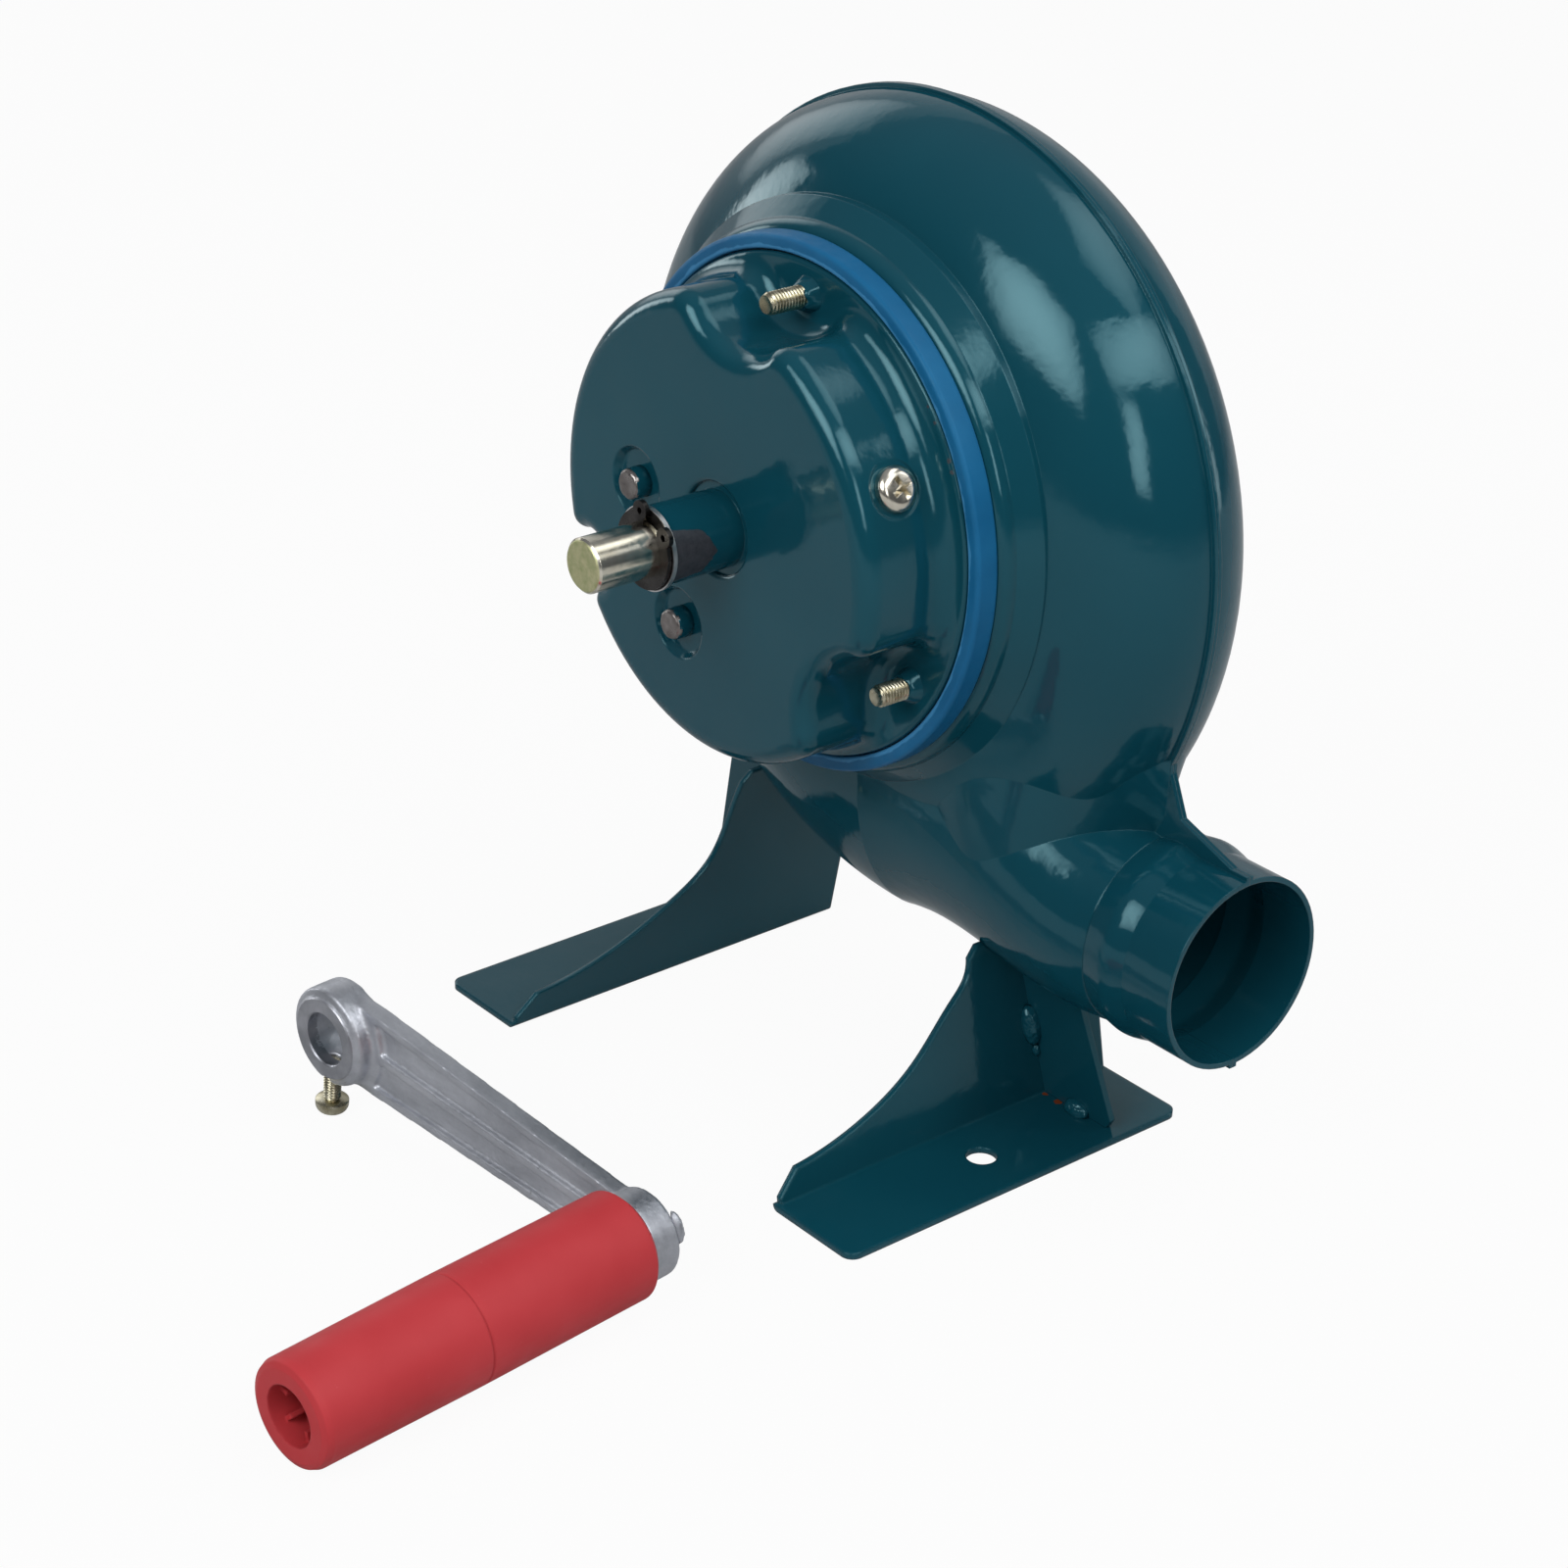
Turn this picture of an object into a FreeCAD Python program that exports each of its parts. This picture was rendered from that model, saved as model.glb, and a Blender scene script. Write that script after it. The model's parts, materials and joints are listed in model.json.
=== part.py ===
import FreeCAD, Part
import math
import os

# Hand crank forge blower with its crank taken off.  Millimetres, +Z up.
# The origin is the middle of the two foot bolt holes, on the ground plane.
# The gearbox and the drive shaft face -Y, and the air outlet points to +X.

V = FreeCAD.Vector
NORTH = V(0, 1, 0)

# ---------------------------------------------------------------- driving sizes
# Stand
foot_length = 97.5          # along Y
foot_width = 24.3           # flange, outwards from the bend
foot_sheet = 1.5
foot_span = 99.2            # between the outer faces of the two webs, at the ground
foot_corner = 3.0
foot_hole = 7.0
foot_hole_out = 11.6        # hole axis, outwards from the bend
web_lean = 11.3             # degrees that each web leans inwards
web_toe = 8.0               # height of the web's front end above the ground
toe_back = 1.2              # web's toe behind the flange's front edge
toe_run = 6.4               # length of the chamfer on the toe
right_web_height = 41.0
left_web_height = 53.0
web_back = 20.0             # length of the web's upright part in front of the seam
gusset_sheet = 1.5
gusset_tilt = 7.0           # degrees that the gusset's top leans forwards
gusset_reach = 21.5         # how far the gusset runs out along the flange
gusset_top_reach = 17.0

# Casing: two pressed shells that meet at the seam plane
seam_from_holes = 31.5      # seam plane behind the foot hole line
casing_height = 133.4       # centre of the casing's circle above the ground
casing_radius = 87.5
rim_width = 39.0            # radial width of the rounded rim
front_depth = 28.6          # seam to the front wall
rear_depth = 27.0           # seam to the rear wall
casing_sheet = 1.2
scroll_growth = 11.9        # how much wider the scroll is at the bottom
lip_out = 0.9               # folded lip along the seam
lip_thick = 1.0

# Air outlet
outlet_radius = 22.1
outlet_height = 56.2
outlet_end = 104.0          # outlet face from the shaft axis
horn_mid_at = 45.0
horn_mid_tall = 29.5        # half height of the horn half way along
horn_mid_front = 25.0       # seam to the horn's front there
horn_mid_rear = 23.6
horn_round_at = 73.0        # where the horn has become round
horn_round = 1.2            # how much wider it is there than the neck
horn_end_at = 79.0          # groove between the horn and the bead
horn_end = 0.4
bead_at = 85.0              # rounded bead round the start of the neck
bead_rise = 1.2
bead_run = 5.5              # from the bead's crest to the straight neck
saddle_top = 97.0           # upper edge of the pressed saddle between casing and horn
saddle_ribs = [             # X, shares of the casing's depth above and in the valley, its height
    (24.0, 0.874, 0.787, 64.0),
    (45.0, 0.920, 0.860, 62.0),
    (55.0, 0.843, 0.776, 68.0),
    (63.0, 0.731, 0.563, 74.0),
    (69.0, 0.601, 0.311, 76.0),
    (75.0, 0.395, 0.042, 76.0),
]
saddle_tip = (80.0, 0.028, 0.024, 74.0)
web_top = 93.7              # web between the casing and the neck, in the seam plane
web_top_at = 80.0
web_corner = 84.5
web_corner_at = 84.0
web_end = 78.3
web_end_at = 102.0

# Air inlet in the rear shell
inlet_radius = 33.0
inlet_lip = 5.0

# Gearbox seat on the front shell
shaft_height = 137.4        # drive shaft and fan axis above the ground
collar_radius = 61.0
collar_flare = 4.0
collar_front = 34.3         # collar face from the seam plane
collar_round = 3.5
collar_opening = 44.0
gasket_outer = 59.0
gasket_inner = 55.6
gasket_base = 2.0
gasket_hole = 47.0
fit_gap = 0.4               # between the gearbox rim and the gasket's lip
plate_sheet = 2.0
cover_sheet = 1.2

# Gearbox cover: a deep cup, set off the shaft axis towards the gear pins
cover_face = 60.8           # face of the cover from the seam plane
cover_wall = 51.7
cover_offset = 3.2          # cup axis from the shaft axis
cover_offset_angle = 214.0
cover_round = 4.5           # from the face into the wall
cover_foot = 5.0            # from the wall out into the flange
cover_rim = 1.0             # rounding of the flange's outer edge
bay_radii = (18.0, 18.0, 6.5)    # bays in the cup's wall, one for each stud
bay_places = (58.0, 58.0, 51.5)  # bay axes from the shaft axis
bay_blends = (7.0, 7.0, 3.0)
stud_circle = 48.6
stud_angles = (86.0, -34.0, 206.0)
stud_lengths = (11.7, 10.0, 11.0)   # standing proud of the cover's flange
stud_radius = 2.45
stud_head_radius = 5.0
stud_head = 3.0
stud_tack_radius = 4.2
stud_tack = 1.4
filler_angle = 25.0         # direction of the filler screw, out through the cup's wall
filler_depth = 49.8         # its axis from the seam plane
filler_seat_radius = 6.2
filler_seat = 0.4           # depth of the flat seat in the wall
filler_head_radius = 4.9
filler_head = 3.0
filler_radius = 2.4
filler_length = 7.0
filler_nut_radius = 5.0
filler_nut = 3.5
cover_hole_radius = 10.2
cover_hole_round = 1.0      # rounded edge of the hole round the shaft's bush
dimple_radius = 8.2
dimple_depth = 1.8

# Gears, 25 degree involute
module = 1.0
pressure_angle = 25.0
backlash = 0.16
tooth_root = 1.25
drive_teeth = 45
pinion_a_teeth = 12
gear_a_teeth = 42
pinion_b_teeth = 21
gear_b_teeth = 42
fan_pinion_teeth = 13
gear_width = 4.5
drive_gear_width = 5.0
gear_gap = 0.5              # between neighbouring gear planes
end_play = 0.3
pin_b_angle = 176.3         # first pin, as seen along +Y from the drive shaft
pin_radius = 3.0
pin_shoulder_radius = 3.5
pin_head_radius = 3.9
pin_proud = 2.8             # the pins' peened ends, in front of the cover's face
hub_a_radius = 6.0
hub_b_radius = 5.6
run_gap = 0.05              # radial clearance of every running fit

# Drive shaft
shaft_radius = 6.0
shaft_tip = 95.5            # shaft end from the seam plane
shaft_chamfer = 0.7
bush_radius = 8.6
bush_front = 77.6
bush_flange_radius = 17.0
bush_flange = 2.0
washer_radius = 9.3
washer_thick = 1.0
ring_radius = 8.7
ring_thick = 1.1
ring_depth = 0.55
ring_opening = 45.0         # degrees
ring_opening_at = 66.0      # direction of the gap
ring_ear_inset = 9.0        # degrees from the gap to the ear
ring_ear = 2.2
ring_ear_at = 8.4
ring_ear_hole = 0.75

# Fan
spindle_radius = 3.0
spindle_bush_radius = 7.0
spindle_bush_flange_radius = 9.0
spindle_bush_flange = 1.5
spindle_bush_length = 11.0
boss_radius = 10.5
boss_depth = 5.0
fan_radius = 66.0
fan_sheet = 1.0
fan_disc_front = 22.0       # front face of the disc, in front of the seam
fan_width = 34.0
blade_count = 8
blade_inner = 27.0
blade_bow = 95.0            # radius of the curved blades
fan_hub_radius = 11.0
fan_hub_flange_radius = 17.0
fan_hub_flange = 2.0
fan_hub_length = 9.0
nut_across = 10.0
nut_height = 5.0
spindle_past_nut = 1.5

# Crank, lying in front of the blower on its set screw and its grip
hub_radius = 11.8
hub_length = 9.0
hub_ring_radius = 9.8
hub_ring = 0.8
hub_bore = 6.15
hub_chamfer = 0.4
crank_length = 96.0
arm_thick = 4.5
arm_front = 4.3             # arm's front face behind the hub ring's face
arm_width_hub = 22.0
arm_width_grip = 15.0
arm_rib = 2.4
arm_recess = 1.4
arm_ridge = 2.6
arm_end_radius = 10.0
arm_end_front = 1.6         # face that the grip runs on, behind the hub ring's face
crank_yaw = 5.6
crank_roll = -4.65
crank_hub_x = -41.3
crank_hub_y = -136.1        # from the seam plane
crank_hub_z = 20.2
screw_from_face = 2.8
set_screw_radius = 2.0
set_screw_head_radius = 3.8
set_screw_head = 3.0
grip_radius = 12.2
grip_end_radius = 11.7
grip_front = 84.5           # free end in front of the hub ring's face
grip_part = 41.0            # part line from the free end
grip_part_groove = 0.35
grip_round = 1.8
grip_hole = 6.6
grip_wall = 12.0
grip_rib_count = 6
grip_rib = 1.1
grip_rib_inner = 4.6
grip_pin_radius = 3.2
grip_pin_head_radius = 5.2
grip_pin_head = 3.0
rivet_washer_radius = 7.0
rivet_washer = 1.4
rivet_head_radius = 4.8
rivet_head = 1.8

# ---------------------------------------------------------------- derived places
seam_y = seam_from_holes
shaft_axis = V(0, seam_y, shaft_height)
casing_axis = V(0, seam_y, casing_height)
collar_y = seam_y - collar_front
plate_back = collar_y - gasket_base
plate_front = plate_back - plate_sheet
flange_front = plate_front - cover_sheet
face_y = seam_y - cover_face
face_inner = face_y + cover_sheet
rim_radius = gasket_inner - fit_gap
dimple_floor = face_y + dimple_depth
pin_head = dimple_depth + pin_proud
bush_flange_back = face_inner + bush_flange
drive_gear_front = bush_flange_back + end_play
drive_gear_back = drive_gear_front + drive_gear_width
gear_a_front = drive_gear_back + gear_gap
gear_a_back = gear_a_front + gear_width
gear_b_front = gear_a_back + gear_gap
gear_b_back = gear_b_front + gear_width
shaft_back = drive_gear_back + 0.2
spindle_pilot = 5.5
pin_a_distance = module * (drive_teeth + pinion_a_teeth) / 2
pin_b_distance = module * (gear_b_teeth + fan_pinion_teeth) / 2
pin_pin_distance = module * (gear_a_teeth + pinion_b_teeth) / 2
pin_spread = math.degrees(math.acos(
    (pin_a_distance ** 2 + pin_b_distance ** 2 - pin_pin_distance ** 2)
    / (2 * pin_a_distance * pin_b_distance)))
pin_a_angle = pin_b_angle + pin_spread


# ---------------------------------------------------------------- small helpers
def polar(radius, degrees, y=0.0):
    """Point at a radius and angle round the shaft axis; 0 is +X and 90 is +Z."""
    angle = math.radians(degrees)
    return V(radius * math.cos(angle), y, shaft_height + radius * math.sin(angle))


def along_y(radius, y0, y1, x=0.0, z=shaft_height):
    """Cylinder along Y from y0 to y1."""
    return Part.makeCylinder(radius, y1 - y0, V(x, y0, z), NORTH)


def along_y_at(radius, y0, y1, point):
    return along_y(radius, y0, y1, point.x, point.z)


def tube_y(outer, inner, y0, y1, x=0.0, z=shaft_height):
    return along_y(outer, y0, y1, x, z).cut(along_y(inner, y0 - 1, y1 + 1, x, z))


def polygon(points):
    return Part.makePolygon(points + [points[0]])


def quarter(centre, radial, axial):
    """Quarter ellipse, or quarter circle, between centre+radial and centre+axial."""
    if abs(radial.Length - axial.Length) < 1e-6:
        middle = centre + (radial + axial) * math.cos(math.pi / 4)
        return Part.Arc(centre + radial, middle, centre + axial).toShape()
    if radial.Length > axial.Length:
        ellipse = Part.Ellipse(centre + radial, centre + axial, centre)
    else:
        ellipse = Part.Ellipse(centre + axial, centre + radial, centre)
    return ellipse.toShape(0, math.pi / 2)


def line(a, b):
    return Part.LineSegment(a, b).toShape()


def spin(points_or_edges, centre, degrees=360.0, axis=NORTH):
    """Solid of revolution round an axis along Y."""
    if isinstance(points_or_edges[0], FreeCAD.Vector):
        wire = polygon(points_or_edges)
    else:
        wire = Part.Wire(points_or_edges)
    return Part.Face(wire).revolve(centre, axis, degrees)


def profile_point(radius, y):
    """Point of a profile that is spun round the shaft axis."""
    return V(radius, y, shaft_height)


def fuse(first, *others):
    return first.multiFuse(list(others)).removeSplitter()


def largest(shape):
    """The main solid of a cut or fused shape."""
    return max(shape.Solids, key=lambda solid: solid.Volume)


# ---------------------------------------------------------------- casing
def rim_section(side, centre_x, radius, skin):
    """Half section of the casing: flat walls that end in an elliptic rim."""
    front = front_depth - skin
    rear = rear_depth - skin
    width = rim_width - skin
    flat = radius - skin - width
    middle = V(centre_x, seam_y, casing_height)
    bend = middle + V(side * flat, 0, 0)
    outward = V(side * width, 0, 0)
    to_front = V(0, -front, 0)
    to_rear = V(0, rear, 0)
    return [
        line(middle + to_front, bend + to_front),
        quarter(bend, outward, to_front),
        quarter(bend, outward, to_rear),
        line(bend + to_rear, middle + to_rear),
        line(middle + to_rear, middle + to_front),
    ]


def oval(x, centre_z, tall, front, rear):
    """Upright oval section of the horn, as four quarters."""
    centre = V(x, seam_y, centre_z)
    to_front = V(0, -front, 0)
    to_rear = V(0, rear, 0)
    up = V(0, 0, tall)
    return Part.Wire([
        quarter(centre, up, to_front), quarter(centre, -up, to_front),
        quarter(centre, -up, to_rear), quarter(centre, up, to_rear),
    ])


def horn(skin):
    """Scroll outlet: from the scroll's end section down to the round groove."""
    bottom = casing_height - casing_radius - scroll_growth
    wide = outlet_radius + horn_round - skin
    end = outlet_radius + horn_end - skin
    return Part.makeLoft([
        oval(scroll_growth, bottom + rim_width, rim_width - skin,
             front_depth - skin, rear_depth - skin),
        oval(horn_mid_at, bottom + horn_mid_tall, horn_mid_tall - skin,
             horn_mid_front - skin, horn_mid_rear - skin),
        oval(horn_round_at, outlet_height, wide, wide, wide),
        oval(horn_end_at, outlet_height, end, end, end),
    ], True)


def neck(skin):
    """Round neck of the outlet, with its bead; the hollow runs out through its face."""
    end = outlet_end + (5.0 if skin > 0 else 0.0)
    start = horn_end_at - 5.0
    straight = bead_at + bead_run

    def at(x, rise):
        return V(x, seam_y, outlet_height + outlet_radius + rise - skin)

    bead = Part.BSplineCurve()
    bead.interpolate([
        at(start, -0.2), at(horn_end_at, horn_end - 0.15),
        at(bead_at - bead_run / 2, bead_rise * 0.7), at(bead_at, bead_rise),
        at(bead_at + bead_run / 2, bead_rise * 0.55), at(straight, 0)])
    corners = [at(straight, 0), at(end, 0), V(end, seam_y, outlet_height),
               V(start, seam_y, outlet_height), at(start, -0.2)]
    sides = [line(a, b) for a, b in zip(corners, corners[1:])]
    axis = V(0, seam_y, outlet_height)
    return spin([bead.toShape()] + sides, axis, 360, V(1, 0, 0))


def saddle(skin):
    """Pressed saddle that fills the corner between the casing's rim and the horn."""
    ribs = saddle_ribs if skin > 0 else saddle_ribs + [saddle_tip]
    sections = []
    for x, upper, lower, valley in ribs:
        corners = [(-front_depth, upper, saddle_top), (-front_depth, lower, valley + skin),
                   (rear_depth, lower, valley + skin), (rear_depth, upper, saddle_top)]
        points = []
        for depth, share, z in corners:
            reach = max(abs(depth) * share - skin, 0.3)
            points.append(V(x, seam_y + math.copysign(reach, depth), z))
        sections.append(polygon(points))
    return Part.makeLoft(sections, True)


def collar(skin):
    """Raised seat of the gearbox, round the shaft axis."""
    face = collar_y + skin
    edge = collar_radius - skin
    bend = collar_round - skin / 2
    foot = edge + collar_flare
    foot_y = seam_y - front_depth + skin + 2.0
    inside = seam_y - front_depth / 2
    arc = Part.Arc(
        profile_point(edge - bend, face),
        profile_point(edge - bend + bend * math.sin(math.pi / 4),
                      face + bend * (1 - math.cos(math.pi / 4))),
        profile_point(edge, face + bend)).toShape()
    corners = [profile_point(edge, face + bend), profile_point(foot, foot_y),
               profile_point(foot, inside), profile_point(0, inside),
               profile_point(0, face), profile_point(edge - bend, face)]
    sides = [line(a, b) for a, b in zip(corners, corners[1:])]
    return spin([arc] + sides, shaft_axis)


def casing_form(skin):
    """Solid form of the whole casing, a sheet's thickness smaller when skin is given."""
    drum = spin(rim_section(1, 0, casing_radius, skin), casing_axis)
    scroll = spin(rim_section(-1, scroll_growth, casing_radius + scroll_growth, skin),
                  V(scroll_growth, seam_y, casing_height), 90, V(0, -1, 0))
    return drum.multiFuse([scroll, collar(skin), horn(skin), neck(skin), saddle(skin)])


def half(front):
    size = 400.0
    y = seam_y - size if front else seam_y
    return Part.makeBox(size, size, size, V(-size / 2, y, -50))


def seam_lip(front):
    """Folded lip along the seam, and the web that ties the neck to the casing."""
    y = seam_y - lip_thick if front else seam_y
    slab = Part.makeBox(400, lip_thick, 400, V(-200, y, -50))
    web = Part.Face(polygon([
        V(web_top_at, y, web_top), V(web_corner_at, y, web_corner),
        V(web_end_at, y, web_end), V(web_end_at, y, web_end - 3),
        V(web_top_at - 20, y, web_end - 3), V(web_top_at - 20, y, web_top),
    ])).extrude(V(0, lip_thick, 0))
    return casing_form(-lip_out).common(slab).fuse(web)


def half_shell(front):
    """One pressed half of the casing with its lip, before its openings are cut."""
    form = casing_form(0).common(half(front))
    return form.fuse(seam_lip(front)).cut(casing_form(casing_sheet))


def make_front_shell():
    shell = half_shell(True)
    shell = shell.cut(along_y(collar_opening, collar_y - 1, collar_y + 4))
    return largest(shell.cut(stud_holes(collar_y - 1, collar_y + 4)))


def make_rear_shell():
    shell = half_shell(False)
    wall = seam_y + rear_depth
    shell = shell.cut(along_y(inlet_radius, wall - 4, wall + 4))
    lip = tube_y(inlet_radius, inlet_radius - casing_sheet, wall - inlet_lip, wall)
    return largest(shell.fuse(lip))


# ---------------------------------------------------------------- gearbox
def make_gasket():
    """Rubber ring: a flat base under the plate and a lip round the gearbox rim."""
    seat = collar_y
    return spin([
        profile_point(gasket_hole, seat),
        profile_point(gasket_outer, seat),
        profile_point(gasket_outer - 0.4, flange_front),
        profile_point(gasket_inner + 0.4, flange_front),
        profile_point(gasket_inner, flange_front + 0.5),
        profile_point(gasket_inner, plate_back),
        profile_point(gasket_hole, plate_back),
    ], shaft_axis).cut(stud_holes(seat - gasket_base - 1, seat + 1))


def stud_holes(y0, y1):
    holes = [along_y_at(stud_radius, y0, y1, polar(stud_circle, a)) for a in stud_angles]
    return holes[0].multiFuse(holes[1:])


def make_back_plate():
    plate = along_y(rim_radius, plate_front, plate_back)
    boss = along_y(boss_radius, plate_back, plate_back + boss_depth)
    plate = plate.fuse(boss)
    plate = plate.cut(along_y(spindle_bush_radius, plate_front - 1, plate_back + boss_depth + 1))
    for place in (pin_a_place(), pin_b_place()):
        plate = plate.cut(along_y_at(pin_radius, plate_front - 1, plate_back + 1, place))
    plate = plate.cut(stud_holes(plate_front - 1, plate_back + 1))
    return plate.removeSplitter()


def cup_axis(y=0.0):
    angle = math.radians(cover_offset_angle)
    return V(cover_offset * math.cos(angle), y,
             shaft_height + cover_offset * math.sin(angle))


def cup_form(skin):
    """Cup of the cover: a round wall with a blended bay at each stud, and a flat face."""
    front = face_y + skin
    back = flange_front + skin
    depth = back - front
    cup = along_y_at(cover_wall - skin, front, back, cup_axis())
    for angle, radius, place, blend in zip(stud_angles, bay_radii, bay_places, bay_blends):
        centre = polar(place, angle)
        cup = cup.cut(along_y_at(radius + skin, front - 1, back + 1, centre))
        corners = [e for e in cup.Edges
                   if abs(e.Length - depth) < 0.01
                   and len(e.Vertexes) == 2
                   and abs(e.Vertexes[0].Point.y - e.Vertexes[1].Point.y) > depth / 2
                   and abs(math.hypot(e.CenterOfMass.x - centre.x,
                                      e.CenterOfMass.z - centre.z) - radius - skin) < 0.05]
        cup = cup.makeFillet(max(blend - skin, 1.0), corners)
    rim = [e for e in cup.Edges
           if all(abs(v.Point.y - front) < 0.01 for v in e.Vertexes)
           and abs(e.CenterOfMass.y - front) < 0.01]
    return cup.makeFillet(cover_round - skin, rim)


def pin_a_place(y=0.0):
    return polar(pin_a_distance, pin_a_angle, y)


def pin_b_place(y=0.0):
    return polar(pin_b_distance, pin_b_angle, y)


def filler_place(radius):
    """Point on the filler screw's axis, at a distance from the shaft axis."""
    return polar(radius, filler_angle, seam_y - filler_depth)


def filler_seat_at():
    """Distance from the shaft axis to the filler screw's seat."""
    axis = cup_axis()
    angle = math.radians(filler_angle)
    across = axis.x * math.sin(angle) - (axis.z - shaft_height) * math.cos(angle)
    along = axis.x * math.cos(angle) + (axis.z - shaft_height) * math.sin(angle)
    return along + math.sqrt(cover_wall ** 2 - across ** 2) - filler_seat


def along_filler(radius, start, end):
    """Cylinder round the filler screw's axis, between two distances from the shaft axis."""
    angle = math.radians(filler_angle)
    return Part.makeCylinder(radius, end - start, filler_place(start),
                             V(math.cos(angle), 0, math.sin(angle)))


def cover_form(skin):
    """The cup with its rounded foot on a wide base, a sheet's thickness in for its hollow."""
    seat = flange_front + skin
    base = along_y(2 * cover_wall, seat, seat + 5)
    form = cup_form(skin).fuse(base)
    foot = [e for e in form.Edges
            if e.BoundBox.YLength < 0.01
            and abs(e.CenterOfMass.y - seat) < 0.01
            and e.BoundBox.XLength < 3 * cover_wall]
    return form.makeFillet(cover_foot + skin, foot)


def on_rim(edge):
    """Whether an edge runs along the cover's rim, in front of the plate."""
    middle = edge.valueAt((edge.FirstParameter + edge.LastParameter) / 2)
    reach = math.hypot(middle.x, middle.z - shaft_height)
    return abs(reach - rim_radius) < 0.01 and edge.BoundBox.YMax < plate_front - 0.05


def make_cover():
    """Pressed cover with a dish for each gear pin and the holes of the shaft and studs."""
    form = cover_form(0).common(along_y(rim_radius, face_y - 1, plate_front))
    form = form.makeFillet(cover_rim, [e for e in form.Edges if on_rim(e)])
    cover = largest(form.cut(cover_form(cover_sheet)))
    for place in (pin_a_place(), pin_b_place()):
        cover = cover.fuse(dish(place, dimple_radius + 0.6, face_inner, dimple_depth))
        cover = cover.cut(dish(place, dimple_radius, face_y, dimple_depth))
        cover = cover.cut(along_y_at(pin_radius, face_y - 1, face_inner + 4, place))
    cover = cover.cut(along_y(cover_hole_radius, face_y - 1, face_inner + 1))
    cover = cover.makeFillet(cover_hole_round, [
        e for e in cover.Edges
        if abs(e.CenterOfMass.y - face_y) < 0.01
        and abs(e.Length - 2 * math.pi * cover_hole_radius) < 0.01])
    seat = filler_seat_at()
    cover = cover.cut(along_filler(filler_seat_radius, seat, seat + 20))
    nut = along_filler(filler_nut_radius, seat - cover_sheet - filler_nut, seat - 0.3)
    cover = cover.fuse(nut)
    cover = cover.cut(along_filler(filler_radius, seat - 20, seat + 1))
    return cover.cut(stud_holes(flange_front - cover_foot, plate_front + 1))


def dish(place, radius, y, depth):
    """Shallow pressed dish round a pin."""
    return Part.makeCone(radius, radius - 1.2, depth, V(place.x, y, place.z), NORTH)


def make_bush():
    """Bearing tube of the drive shaft with the flange that holds it in the cover."""
    front = seam_y - bush_front
    tube = along_y(bush_radius, front, bush_flange_back)
    flange = along_y(bush_flange_radius, face_inner, bush_flange_back)
    return fuse(tube, flange).cut(along_y(shaft_radius + run_gap, front - 1, bush_flange_back + 1))


def make_pin(place, shoulder_to):
    """Gear pin, peened over in the dimple and seated in the back plate."""
    pin = along_y_at(pin_radius, dimple_floor, plate_back, place)
    head = along_y_at(pin_head_radius, dimple_floor - pin_head, dimple_floor, place)
    head = head.makeFillet(0.7, [e for e in head.Edges
                                 if abs(e.CenterOfMass.y - (dimple_floor - pin_head)) < 0.01])
    inner = dimple_floor + cover_sheet
    shoulder = along_y_at(pin_shoulder_radius, inner, shoulder_to, place)
    return fuse(pin, head, shoulder)


def make_studs():
    """Studs that hold the gearbox on the casing, with their heads inside it."""
    studs = []
    inside = collar_y + casing_sheet
    for angle, length in zip(stud_angles, stud_lengths):
        place = polar(stud_circle, angle)
        shank = along_y_at(stud_radius, flange_front - length, inside + stud_head, place)
        shank = shank.makeChamfer(0.5, [e for e in shank.Edges
                                        if abs(e.CenterOfMass.y - (flange_front - length)) < 0.01])
        head = along_y_at(stud_head_radius, inside, inside + stud_head, place)
        studs.append(fuse(shank, head))
    return studs


def make_stud_tacks(cover):
    """Blobs of weld at the foot of each stud."""
    tacks = []
    for angle in stud_angles:
        place = polar(stud_circle, angle)
        cone = Part.makeCone(stud_tack_radius - 1, stud_tack_radius, stud_tack,
                             V(place.x, flange_front - stud_tack, place.z), NORTH)
        cone = cone.cut(along_y_at(stud_radius, flange_front - 5, flange_front + 5, place))
        tacks.append(largest(cone.cut(cover)))
    return Part.makeCompound(tacks)


def make_filler_screw():
    """Pan head screw that closes the grease filler in the side of the cover."""
    seat = filler_seat_at()
    shank = along_filler(filler_radius, seat - filler_length, seat)
    ball = filler_head_radius * 1.3
    head = Part.makeSphere(ball, filler_place(seat + filler_head - ball))
    head = head.common(along_filler(filler_head_radius, seat, seat + filler_head))
    return fuse(shank, head)


# ---------------------------------------------------------------- gears
def involute(base, radius):
    """Angle of the involute at a radius."""
    ratio = max(radius / base, 1.0)
    spread = math.sqrt(ratio * ratio - 1)
    return spread - math.atan(spread)


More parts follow.
